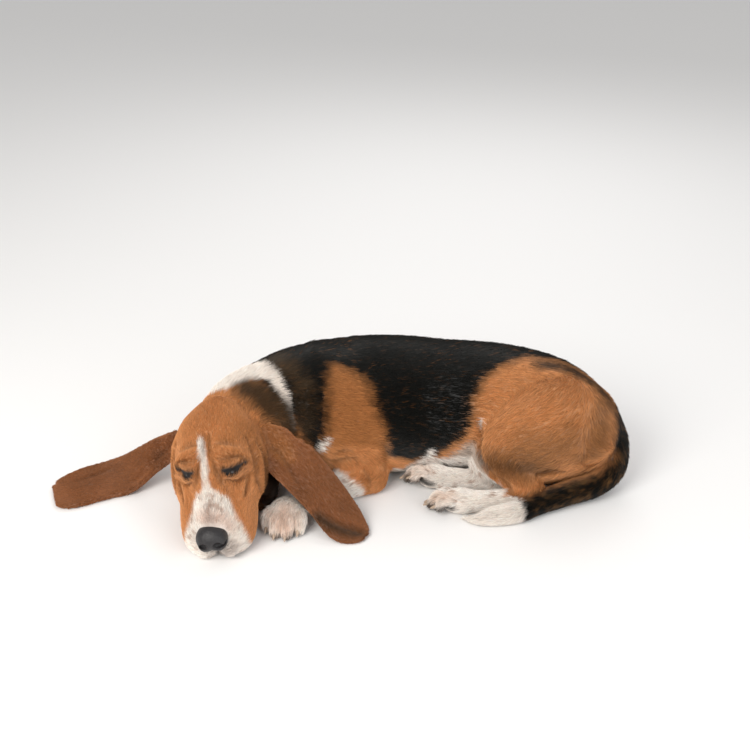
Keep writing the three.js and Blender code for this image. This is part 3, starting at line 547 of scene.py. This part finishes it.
# Markings and painted shade, the same for hide and coat. Colours are painted over one another in
# the order of a dog's pattern: tan ground, black saddle, then tan points, white collar, blaze, feet
# and tail tip, with patches of painted shade among them.
TAN, RED = (0.57, 0.248, 0.092), (0.40, 0.165, 0.055)
BLACK, WHITE = (0.006, 0.006, 0.005), (0.84, 0.76, 0.69)
GRIZZLE, EAR, LID = (0.075, 0.042, 0.019), (0.25, 0.095, 0.036), (0.012, 0.008, 0.007)
# The first colour on the next line is painted deep shade, laid in the hollow under the ear.
UNDER_EAR_SHADE, PAD, SMOKE = (0.030, 0.014, 0.007), (0.035, 0.03, 0.026), (0.10, 0.06, 0.03)
EYE_SHADE, STAIN, TICK = (0.20, 0.09, 0.045), (0.60, 0.36, 0.22), (0.36, 0.20, 0.12)


def mottle(p, size, seed=0):
    """Smooth noise from -1 to 1: a hash of each lattice cell's whole numbers, between which the
    share s of the way counts as s^2(3-2s)."""
    q = p / size + 1000.0
    cell = np.floor(q).astype(np.int64)
    s = q - cell
    s = s * s * (3 - 2 * s)
    total = 0
    for c in np.ndindex(2, 2, 2):
        k = cell + c
        h = k[:, 0] * 73856093 ^ k[:, 1] * 19349663 ^ k[:, 2] * 83492791 ^ (seed * 2654435761)
        h = h & 0xFFFFFFF
        h = (h * 1103515245 + 12345) & 0x7FFFFFFF
        h = ((h >> 7) * 48271) & 0x7FFFFFF
        weight = np.prod(np.where(c, s, 1 - s), 1)
        total = total + weight * (h / 0x7FFFFFF * 2 - 1)
    return total


def patch(points, radii, colour, soft=5, ragged=4, strength=1, head=False, only=None):
    """A marking or a patch of painted shade: a colour laid where a point is inside a round swept along
    the path, with a soft edge and raggedness in mm, on every part or only on those whose name starts
    with `only`."""
    path = on_head(points) if head else points
    return Limb("detail", path, radii, steps=3), np.array(colour), soft, ragged, strength, only


patterns_and_shade = [
    # Black saddle, and black from the withers down behind the shoulder.
    patch([(-30, 118, 190), (60, 126, 192), (90, 128, 192), (120, 128, 192), (150, 126, 191),
           (190, 125, 190), (300, 115, 185), (360, 95, 160)],
          [120, 146, 170, 159, 158, 132, 118, 76], BLACK, 6, 6),
    patch([(-45, 150, 150), (-50, 100, 195), (-48, 55, 190), (-45, 25, 160), (-42, 8, 125), (-38, 0, 100)],
          [50, 40, 32, 30, 26, 20], BLACK, 6, 5),
    # Tan haunch, black down the rump, dark hairs over the thigh, painted shade under its lower edge.
    patch([(262, 12, 95), (275, 35, 130), (310, 45, 128), (360, 48, 116)], [62, 82, 86, 66], TAN, 8, 6),
    patch([(300, 90, 196), (345, 88, 184), (384, 66, 158), (408, 44, 126), (420, 30, 96)],
          [12, 15, 15, 13, 14], BLACK, 10, 8, 0.9),
    patch([(280, -22, 120), (318, -24, 104), (345, -8, 118)], [10, 22, 14], GRIZZLE, 24, 10, 0.5),
    # Painted shade, near black, under the curve of the thigh.
    patch([(226, -8, 78), (250, -20, 80), (280, -23, 76), (306, -16, 66)], [12, 15, 15, 10],
          (0.060, 0.028, 0.010), 18, 6, 0.85),
    patch([(386, 37, 152), (387, 14, 135), (381, 0, 109), (371, -4, 85)], [10, 13, 13, 12],
          (0.12, 0.055, 0.02), 16, 9, 0.7),
    # Red shoulder and tan forearm.
    patch([(-12, 60, 190), (-2, 50, 178), (5, 35, 162), (10, 24, 142), (12, 16, 122), (15, 14, 100),
           (16, 14, 74)], [13, 24, 31, 35, 38, 43, 46], RED, 9, 8),
    patch([(-18, 0, 58), (27, 0, 48), (56, 12, 44), (80, 34, 40), (96, 38, 36)],
          [36, 44, 26, 20, 14], TAN, 6, 5),
    # White collar that narrows down the side of the neck, dark nape in front of it, smoky edges.
    patch([(-196, 100, 130), (-176, 78, 166), (-146, 84, 180), (-114, 66, 183), (-99, 46, 175),
           (-86, 30, 160), (-79, 21, 138), (-75, 14, 121)],
          [36, 32, 27, 12, 8.5, 6.5, 4.5, 2.5], WHITE, 2.5, 3),
    patch([(-150, 42, 176), (-128, 31, 167), (-108, 24, 152), (-92, 18, 136), (-84, 14, 118)],
          [15, 19, 20, 17, 14], (0.055, 0.034, 0.018), 9, 7, 0.95),
    patch([(-58, 34, 172), (-57, 18, 146), (-60, 8, 118)], [12, 12, 10], SMOKE, 12, 12, 0.5),
    patch([(-112, 96, 196), (-88, 70, 196), (-72, 52, 188)], [12, 12, 10], SMOKE, 12, 12, 0.6),
    # White wedge before the shoulder, white fore paw and the inside of the forearm.
    patch([(-23, 7, 110), (-30, 6, 101), (-39, 2, 90)], [1.5, 4, 8], WHITE, 1.5, 1),
    patch([(-78, -75, 24), (-72, -50, 28), (-35, -25, 30)], [54, 44, 40], WHITE, 3, 3,
          only="paw_front_left"),
    patch([(-72, -50, 28), (-35, -25, 30), (-8, -8, 24), (16, -10, 14)], [44, 38, 31, 24], WHITE, 3, 3,
          only="foreleg"),
    # Deep shade under the ear, between cheek and throat.
    patch([(-118, -24, 84), (-106, -34, 66), (-98, -40, 44), (-92, -40, 24)], [30, 34, 34, 30],
          UNDER_EAR_SHADE, 10, 4, only="neck"),
    patch([(-118, -24, 84), (-106, -34, 66), (-98, -40, 44)], [20, 24, 24], UNDER_EAR_SHADE, 12, 4, 0.9,
          only="head"),
    # White right fore paw and belly, with the tan and pinkish skin of the groin.
    patch([(-140, 150, 24), (-190, 140, 22)], [46, 50], WHITE, 4, 4),
    patch([(80, 80, 12), (130, 80, 12), (200, 78, 16)], [44, 44, 42], WHITE, 6, 5),
    patch([(102, 34, 20), (116, 34, 40), (126, 30, 58), (131, 28, 74)], [20, 15, 9, 3], WHITE, 3, 4),
    patch([(150, 34, 60), (170, 28, 76), (186, 27, 92), (196, 30, 110)], [9, 10, 10, 8], TAN, 5, 5),
    patch([(176, 34, 50), (196, 24, 70), (214, 10, 62)], [20, 18, 12], (0.48, 0.38, 0.31), 6, 6),
    patch([(206, 30, 122), (206, 30, 112)], [4.5, 3], WHITE, 2, 2),
    # White hind feet.
    patch([(224, -30, 30), (190, -32, 25), (130, -40, 25)], [24, 34, 44], WHITE, 3, 4),
    patch([(250, 26, 30), (180, 28, 28), (112, 26, 26)], [24, 32, 27], WHITE, 3, 4),
    # Tail: black, tan on its inner side, white brush.
    patch([(396, 66, 112), (416, 48, 72), (406, 22, 40), (386, 4, 28), (342, -15, 24), (300, -35, 22),
           (270, -50, 20)], [30, 33, 31, 30, 28, 26, 24], BLACK, 4, 5),
    patch([(396, 40, 100), (392, 20, 70), (370, 14, 56), (330, -2, 48), (292, -24, 44), (266, -42, 40)],
          [12, 15, 16, 14, 9, 5], TAN, 8, 7, 0.9),
    patch([(256, -56, 19), (228, -65, 18), (184, -58, 8)], [24, 26, 20], WHITE, 2.5, 5),
    # Face: the lower cheek darkened to red tan as painted shade, blaze, white muzzle between tan lips.
    # Painted shade on the lower cheek, in the red tan of the shoulder.
    patch([(20, 44, 40), (-6, 56, 20), (0, 60, -20)], [12, 14, 14], RED, 18, 8, 0.7, True),
    patch([(14, -9, 60), (24, -8, 59), (39, -7, 56), (54, -4, 53), (70, -3, 48), (84, -3, 40),
           (94, -4, 32)], [4.2, 6.8, 6.8, 7.2, 8.2, 9.6, 13], WHITE, 2, 1.6, 1, True),
    patch([(102, -1, 12), (114, 0, 0), (130, 0, -14), (146, 0, -30)], [24, 34, 42, 46],
          WHITE, 2.5, 3, 1, True),
    patch([(100, -44, 4), (112, -52, -8), (122, -58, -24)], [14, 14, 12], TAN, 4, 3, 1, True),
    patch([(98, 46, 2), (114, 52, -6), (126, 56, -20), (136, 56, -40)], [18, 16, 15, 14],
          TAN, 4, 3, 1, True),
    # Dark and pink skin showing above and beside the nose, round the eyes and at the lips,
    # the pink at the lips darkened with painted shade.
    patch([(108, -2, 22), (120, -3, 20), (130, -3, 16)], [1, 3, 8], (0.20, 0.13, 0.10), 8, 4, 0.7, True),
    patch([(118, -16, 16), (120, 14, 12), (134, 26, 2)], [6, 6, 5], (0.55, 0.30, 0.20), 9, 5, 0.45, True),
    patch([(150, 26, -16), (158, 14, -24), (160, -4, -26)], [5, 6, 4], (0.16, 0.10, 0.08), 7, 4,
          0.55, True),
    *[patch([(62, 20 * m, 38), (58, 36 * m, 36), (50, 52 * m, 24)], [7, 9, 7], EYE_SHADE, 10, 3,
            0.45, True) for m in (1, -1)],
    # Pink skin of the lips, darkened as painted shade.
    patch([(138, 26, -44), (146, 14, -48)], [9, 10], (0.25, 0.13, 0.08), 9, 5, 0.55, True),
    # Paws: tan stain on the toes, and dark pads under them.
    patch([(-84, -84, 40), (-80, -100, 30)], [14, 16], (0.62, 0.34, 0.20), 16, 10, 0.5),
    patch([(-98, -108, 9), (-86, -110, 7), (-73, -111, 8), (-62, -102, 9)], [8, 9, 9, 8],
          (0.035, 0.026, 0.022), 4, 3, 0.95, only="paw"),
    patch([(130, -38, 15), (148, -52, 17), (166, -54, 18)], [10, 9, 8], PAD, 3.5, 2.5, 0.95, only="paw"),
    patch([(101, 44, 22), (110, 20, 25), (126, 15, 22), (140, 14, 22)], [10, 9, 8, 6], PAD,
          3.5, 2.5, 0.95, only="paw"),
    patch([(140, -38, 36), (160, -40, 40)], [9, 9], STAIN, 10, 6, 0.5),
    patch([(108, 22, 40), (130, 24, 44)], [9, 8], STAIN, 10, 6, 0.4),
]

# The left ear is lighter where it leaves the head; inside its rolled rim it is darker brown,
# with painted shade under the fold.
ear_shades = [
    (Limb("detail", [(-112, 2, 120), (-98, -10, 108), (-80, -22, 94)], [20, 20, 12]),
     (0.36, 0.145, 0.048)),
    # Darker brown inside the rolled rim, with painted shade under the fold.
    (Limb("detail", [(-32, -92, 36), (-12, -99, 26), (10, -101, 16), (26, -101, 13)], [9, 10, 10, 8]),
     (0.075, 0.034, 0.014)),
]


def markings_and_shade(p, parts):
    """Colour at points of the surface: each pattern's colour is mixed in by how far the point is
    inside it, the edge made ragged by noise; the ears take their own; tan hairs fleck the black
    and brindle the tail, spots tick the white; creases darken with painted shade, and the lids' rims
    darken."""
    colour = np.tile(np.array(TAN), (len(p), 1))
    slow, quick = mottle(p, 9, 1), mottle(p, 3.2, 2)
    for shape, paint, soft, ragged, strength, only in patterns_and_shade:
        near = ((p > shape.low - 30) & (p < shape.high + 30)).all(1)
        if only:
            near &= np.char.startswith(parts.astype(str), only)
        d = shape.nearest(p[near])[0] + ragged * (0.6 * slow[near] + 0.5 * quick[near])
        share = strength * np.clip(0.5 - d / (2 * soft), 0, 1)[:, None] ** 0.8
        colour[near] = colour[near] * (1 - share) + paint * share
    ear = np.isin(parts, ("ear_left", "ear_right"))[:, None]
    tone = 1 + 0.22 * mottle(p, 30, 3)[:, None]
    colour = np.where(ear, np.array(EAR) * tone, colour)
    for shape, paint in ear_shades:
        share = np.clip(0.5 - shape.nearest(p)[0] / 14, 0, 1)[:, None] * ear
        colour = colour * (1 - share) + np.array(paint) * share
    bright = colour.mean(1)
    black = bright < 0.05
    fleck = np.clip((mottle(p, 2.0, 5) - 0.55) / 0.2, 0, 1) * black * (0.30 + 0.25 * mottle(p, 38, 6))
    colour = colour * (1 - fleck[:, None]) + np.array(RED) * 0.6 * fleck[:, None]
    on_muzzle = ((p - HEAD_AT) @ head_axes.T)[:, 0] > 84
    on_tail = np.char.startswith(parts.astype(str), "tail")
    on_white = (bright > 0.45) & (on_muzzle | (p[:, 2] < 60)) & ~on_tail
    tick = np.clip((mottle(p, 5.5, 8) - 0.52) / 0.16, 0, 1) * on_white * np.where(on_muzzle, 0.5, 0.6)
    colour = colour * (1 - tick[:, None]) + np.array(TICK) * tick[:, None]
    brindle = np.clip(mottle(p, 6, 9) + 0.5 * mottle(p, 2.2, 10), 0, 1) * 0.5 * (on_tail & black)
    colour = colour * (1 - brindle[:, None]) + np.array((0.30, 0.15, 0.055)) * brindle[:, None]
    # Painted shade in the creases: colour darkens towards the middle of each groove.
    for groove in creases:
        near = ((p > groove.low - 8) & (p < groove.high + 8)).all(1)
        shade = np.clip(groove.nearest(p[near])[0] / 3.2 + 0.35, 0, 1)
        colour[near] *= (0.38 + 0.62 * shade)[:, None]
    for socket in sockets:
        rim = Limb("detail", socket["slit"], [2.0, 4.8, 5.4, 4.0, 1.8], steps=4)
        near = ((p > rim.low - 12) & (p < rim.high + 12)).all(1)
        share = np.clip(1 - rim.nearest(p[near])[0] / 3.6, 0, 1)[:, None]
        colour[near] = colour[near] * (1 - share) + np.array(LID) * share
    return np.clip(colour, 0.004, 0.9)


def part_and_lie(p, normals):
    """The part each point belongs to, and the way its hair lies: the shapes' directions weighted
    by exp(-(distance beyond the nearest)/8) and laid flat on the surface."""
    far = np.full((len(CAD_FLESH), len(p)), 1e3)
    ways = np.zeros((len(CAD_FLESH), len(p), 3), np.float32)
    for i, s in enumerate(CAD_FLESH):
        near = ((p > s.low - 34) & (p < s.high + 34)).all(1)
        far[i, near], ways[i, near] = s.nearest(p[near])
    weight = np.exp(-(far - far.min(0)) / 8)
    way = (ways * weight[..., None]).sum(0)
    way -= (way * normals).sum(1)[:, None] * normals
    return np.array([s.part for s in CAD_FLESH])[far.argmin(0)], unit(way)


def vertex_normals(points, triangles):
    """Sum at each corner of the face normals, weighted by area, made unit length."""
    a, b, c = (points[triangles[:, i]] for i in range(3))
    n = np.cross(b - a, c - a)
    corners = triangles.ravel()
    total = [np.bincount(corners, np.repeat(n[:, i], 3), len(points)) for i in range(3)]
    return unit(np.stack(total, 1))


def painted(obj, colour):
    """Stores the markings and painted shade at the mesh's points, for the materials to read."""
    layer = obj.data.color_attributes.new("markings_and_shade", "FLOAT_COLOR", "POINT")
    rgba = np.hstack([colour, np.ones((len(colour), 1))]).astype(np.float32)
    layer.data.foreach_set("color", rgba.ravel())


def dog_material(name, roughness, bump, grain):
    """Markings and painted shade as the colour, over a fine grain of noise for the bump."""
    material = bpy.data.materials.new(name)
    material.use_nodes = True
    tree = material.node_tree
    shader = tree.nodes["Principled BSDF"]
    shader.inputs["Roughness"].default_value = roughness
    seen = tree.nodes.new("ShaderNodeAttribute")
    seen.attribute_name = "markings_and_shade"
    tree.links.new(seen.outputs["Color"], shader.inputs["Base Color"])
    if bump:
        where = tree.nodes.new("ShaderNodeTexCoord")
        noise = tree.nodes.new("ShaderNodeTexNoise")
        noise.inputs["Scale"].default_value = grain
        height = tree.nodes.new("ShaderNodeBump")
        height.inputs["Distance"].default_value = bump
        tree.links.new(where.outputs["Object"], noise.inputs["Vector"])
        tree.links.new(noise.outputs["Fac"], height.inputs["Height"])
        tree.links.new(height.outputs["Normal"], shader.inputs["Normal"])
    return material


normals = vertex_normals(points, triangles)
parts, lie = part_and_lie(points, normals)
hide = mesh_object("hide", points, triangles, dog_material("hide_skin", 0.65, 0.0006, 900))
# The hide is painted 0.8 as bright as the coat, as shade under the hair.
painted(hide, markings_and_shade(points, parts) * 0.8)
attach(hide, "root")
FLESH_NODES = [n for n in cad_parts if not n.startswith(("eye", "claw", "nose"))]
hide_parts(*FLESH_NODES)

# --- Coat -------------------------------------------------------------------------------------
# The short smooth coat: narrow pointed tufts of hair rooted in the hide, which lie back over one
# another from nose to tail and down the legs, longer on the body and brush than on face and ears.
COAT = {  # tufts, length and width in mm
    "coat_head": (44000, 6.5, 0.9), "coat_ears": (38000, 5.0, 0.9), "coat_neck": (36000, 12, 1.3),
    "coat_back": (46000, 13, 1.4), "coat_flank": (30000, 13, 1.4), "coat_legs": (46000, 9, 1.1),
    "coat_tail": (16000, 14, 1.2),
}
coat_look = dog_material("short_coat", 0.5, 0, 0)
shader = coat_look.node_tree.nodes["Principled BSDF"]
shader.inputs["Specular IOR Level"].default_value = 0.22
rng = np.random.default_rng(7)
piece_of = {"head": "coat_head", "neck": "coat_neck", "tail": "coat_tail", "ear_left": "coat_ears",
            "ear_right": "coat_ears"}
face_parts = parts[triangles[:, 0]]
middles = points[triangles].mean(1)
face_piece = np.array([piece_of.get(p, "coat_legs") for p in face_parts], dtype=object)
trunk = face_parts == "trunk"
face_piece[trunk] = np.where(middles[trunk, 0] > 120, "coat_flank", "coat_back")
thigh = np.isin(face_parts, ("hindleg_left_thigh", "hindleg_right_thigh"))
face_piece[thigh] = "coat_flank"
bare = middles[:, 2] < FLOOR_Z + 2.5
for socket in sockets:
    slit = Limb("detail", socket["slit"], SLIT_HALF, steps=3)
    bare |= slit.nearest(middles)[0] < 0.8
nose_egg = Egg("detail", on_head([(138, -3, -5)])[0], (21, 22, 19), head_axes)
bare |= nose_egg.nearest(middles)[0] < 1.5


def unwrapped(points, faces):
    """UVs of each corner of the faces: the piece is laid flat in islands by its own shape."""
    used, local = np.unique(faces, return_inverse=True)
    shell = mesh_object("unwrap", points[used], local.reshape(faces.shape), coat_look)
    bpy.context.view_layer.objects.active = shell
    shell.select_set(True)
    shell.data.uv_layers.new(name="flat")
    bpy.ops.object.mode_set(mode="EDIT")
    bpy.ops.mesh.select_all(action="SELECT")
    bpy.ops.uv.smart_project(angle_limit=math.radians(66), island_margin=0.003)
    bpy.ops.object.mode_set(mode="OBJECT")
    uv = np.empty(len(faces) * 6, np.float32)
    shell.data.uv_layers["flat"].data.foreach_get("uv", uv)
    mesh = shell.data
    bpy.data.objects.remove(shell)
    bpy.data.meshes.remove(mesh)
    return uv.reshape(-1, 3, 2)


def tufts(root, out, way, length, width, lift):
    """Four points to a tuft: left, right and ridge at the root, and the tip, which lies `length`
    along the coat and `lift` above the skin."""
    side = np.cross(out, way)
    w, lift, length = width[:, None], lift[:, None], length[:, None]
    base = root - out * 0.5
    tip = root + way * length + out * lift
    tip[:, 2] = np.maximum(tip[:, 2], FLOOR_Z + 0.4)
    return np.stack([base - side * w / 2, base + side * w / 2, base + out * (0.5 + 0.35 * w), tip], 1)


TUFT_FACES = np.array([(1, 2, 3), (0, 3, 2), (0, 1, 3), (0, 2, 1)])
PATCH = 0.003 * np.array([(-0.5, -0.45), (0.5, -0.45), (0.0, 0.5), (0.0, -0.1)])
depths = {name: depth_on(name) for name in np.unique(parts)}
vertex_depth = np.array([depths[p] for p in parts])
for name, (count, length, width) in COAT.items():
    faces = triangles[face_piece == name]
    uv = unwrapped(points, faces)
    a, b, c = (points[faces[:, i]] for i in range(3))
    area = np.linalg.norm(np.cross(b - a, c - a), axis=1) * ~bare[face_piece == name]
    pick = rng.choice(len(faces), count, p=area / area.sum())
    share = rng.dirichlet((1, 1, 1), count)
    blend = lambda values: (values[faces[pick]] * share.reshape(-1, 3, *[1] * (values.ndim - 1))).sum(1)
    root, out, way, depth = blend(points), unit(blend(normals)), blend(lie), blend(vertex_depth)
    swirl = 0.22 * mottle(root, 26, 11) + rng.normal(0, 0.16, count)
    way = unit(way + np.cross(out, way) * swirl[:, None])
    way = unit(way - (way * out).sum(1)[:, None] * out)
    size = rng.uniform(0.7, 1.2, count) * length
    lift = depth * rng.uniform(0.35, 1.0, count)
    shape = tufts(root, out, way, size, rng.uniform(0.7, 1.3, count) * width, lift)
    colour = markings_and_shade(root, parts[faces[pick, 0]])
    colour = np.clip(colour * rng.normal(1, 0.13, count)[:, None], 0.003, 0.92)
    coat = mesh_object(name, shape.reshape(-1, 3),
                       (np.arange(count)[:, None, None] * 4 + TUFT_FACES).reshape(-1, 3), coat_look, False)
    tone = np.array([0.72, 0.72, 0.85, 1.12])[None, :, None]
    painted(coat, np.clip((colour[:, None, :] * tone).reshape(-1, 3), 0, 1))
    at = (uv[pick] * share[:, :, None]).sum(1)
    layer = coat.data.uv_layers.new(name="OFBake")
    corner_uv = at[:, None, None, :] + PATCH[TUFT_FACES][None]
    layer.data.foreach_set("uv", corner_uv.astype(np.float32).ravel())
    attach(coat, "root")

# --- Eyes -------------------------------------------------------------------------------------
# Two dark brown eyeballs, wet and glossy. They sit whole in the head, and only a thin slit of
# them shows between the heavy lids.
wet = bpy.data.materials.new("wet_eye")
wet.use_nodes = True
shader = wet.node_tree.nodes["Principled BSDF"]
shader.inputs["Base Color"].default_value = (0.012, 0.006, 0.004, 1)
shader.inputs["Roughness"].default_value = 0.22


def ball(rings, sides):
    """A unit sphere: sin and cos of the polar angle times those of the turn, poles as points."""
    polar, turn = np.linspace(0, math.pi, rings + 1)[1:-1], np.linspace(0, 2 * math.pi, sides, False)
    p, t = np.meshgrid(polar, turn, indexing="ij")
    body = np.stack([np.sin(p) * np.cos(t), np.sin(p) * np.sin(t), np.cos(p)], -1).reshape(-1, 3)
    grid = np.arange((rings - 1) * sides).reshape(rings - 1, sides)
    following = np.roll(grid, -1, 1)
    quads = np.stack([grid[:-1], grid[1:], following[1:], following[:-1]], -1).reshape(-1, 4)
    split = np.vstack([quads[:, [0, 1, 2]], quads[:, [0, 2, 3]]])
    top, bottom = len(body), len(body) + 1
    caps = [np.stack([np.full(sides, top), grid[0], following[0]], 1),
            np.stack([np.full(sides, bottom), following[-1], grid[-1]], 1)]
    return np.vstack([body, (0, 0, 1), (0, 0, -1)]), np.vstack([split, *caps])


sphere, sphere_faces = ball(20, 32)
for socket, name in zip(sockets, ("eye_left", "eye_right")):
    made = mesh_object(name + "_ball", socket["centre"] + sphere * EYEBALL, sphere_faces, wet)
    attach(made, "root")
    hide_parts(name)

# --- Nose -------------------------------------------------------------------------------------
# The bare, moist leather at the end of the muzzle: a broad pad grown into the hide, with a middle
# groove, and a comma-shaped nostril on each side that opens outwards.
pad = [
    Egg("detail", on_head([(138, -3, -4)])[0], (19, 21, 17), head_axes, 4),
    *[Egg("detail", on_head([(139, -3 + 10 * m, -8)])[0], (18, 11.5, 14), head_axes, 6) for m in (1, -1)],
    *[Limb("detail", on_head([(160, -3 + 8 * m, 2), (155, -3 + 10 * m, 0), (150, -3 + 15 * m, -5),
                              (145, -3 + 21 * m, -6)]), [4.4, 5.0, 3.2, 2.2], blend=1.6, groove=True)
      for m in (1, -1)],
    Limb("detail", on_head([(158, -3, 5), (159, -3, -6), (153, -3, -20)]), [1.7, 1.5, 1.8], blend=1.5,
         groove=True),
]
NOSE_GRID = 1.1
low = np.min([s.low for s in pad[:3]], 0) - 4
high = np.max([s.high for s in pad[:3]], 0) + 4
pad_points, pad_squares = net(box_samples(pad, low, high, NOSE_GRID), low, NOSE_GRID)
slope, off = outward(pad_points, pad)
pad_points -= slope * np.clip(off, -0.6, 0.6)[:, None]
leather = bpy.data.materials.new("nose_leather")
leather.use_nodes = True
tree = leather.node_tree
shader = tree.nodes["Principled BSDF"]
shader.inputs["Base Color"].default_value = (0.018, 0.016, 0.017, 1)
shader.inputs["Roughness"].default_value = 0.36
shader.inputs["Specular IOR Level"].default_value = 0.45
where, pebbles, height = (tree.nodes.new("ShaderNode" + n) for n in ("TexCoord", "TexVoronoi", "Bump"))
pebbles.inputs["Scale"].default_value = 700
height.inputs["Distance"].default_value = 0.0004
tree.links.new(where.outputs["Object"], pebbles.inputs["Vector"])
tree.links.new(pebbles.outputs["Distance"], height.inputs["Height"])
tree.links.new(height.outputs["Normal"], shader.inputs["Normal"])
nose = mesh_object("nose_pad", pad_points, pad_squares, leather)
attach(nose, "root")
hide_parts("nose")

# --- Claws ------------------------------------------------------------------------------------
# Sixteen blunt curved claws of pale horn, one growing from the end of each toe and kept clear of
# the floor.
CLAW_RINGS, CLAW_SIDES = 12, 14
CLAW_DROP = 2.2  # how far the tip falls below the straight line, mm
horn = bpy.data.materials.new("claw_horn")
horn.use_nodes = True
shader = horn.node_tree.nodes["Principled BSDF"]
shader.inputs["Base Color"].default_value = (0.40, 0.30, 0.22, 1)
shader.inputs["Roughness"].default_value = 0.35


def claw(at, down, side, up, root=3.6, tip=1.2, long=11.2):
    """Rings of an oval, 0.8 as wide as high, along a line that falls away by the drop times t^2
    and narrows from root to tip as the 1.3 power of t, closed by a point at each end."""
    t = np.linspace(0, 1, CLAW_RINGS)[:, None]
    turn = np.linspace(0, 2 * math.pi, CLAW_SIDES, False)[None, :]
    r = root + (tip - root) * t**1.3
    r = r * np.sqrt(np.clip(1 - np.clip((t - 0.9) / 0.11, 0, 1) ** 2, 0, 1))
    middle = at + t[..., None] * long * down - CLAW_DROP * t[..., None] ** 2 * up
    rings = middle + (0.8 * r * np.cos(turn))[..., None] * side + (r * np.sin(turn))[..., None] * up
    grid = np.arange(CLAW_RINGS * CLAW_SIDES).reshape(CLAW_RINGS, CLAW_SIDES)
    following = np.roll(grid, -1, 1)
    quads = np.stack([grid[:-1], following[:-1], following[1:], grid[1:]], -1).reshape(-1, 4)
    root_point, tip_point = grid.size, grid.size + 1
    ends = [(root_point, b, a) for a, b in zip(grid[0], following[0])]
    ends += [(tip_point, a, b) for a, b in zip(grid[-1], following[-1])]
    split = np.vstack([quads[:, [0, 1, 2]], quads[:, [0, 2, 3]], ends])
    return np.vstack([rings.reshape(-1, 3), at[None], (at + long * down - CLAW_DROP * up)[None]]), split


for part, (at, f, s, u, half, long) in paw_frames.items():
    for i, (across, reach, fat) in enumerate(TOES):
        down = unit(f - 0.22 * u)
        root = at + f * long * reach + s * across * half - u * 4 + down * fat * half * 0.5
        side = unit(np.cross((0, 0, 1), down))
        shape, faces = claw(root, down, side, np.cross(down, side))
        name = part.replace("paw", "claw") + f"_{i + 1}"
        shape[:, 2] = np.maximum(shape[:, 2], FLOOR_Z + 0.2)
        made = mesh_object(name + "_horn", shape, faces, horn)
        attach(made, "root")
        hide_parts(name)
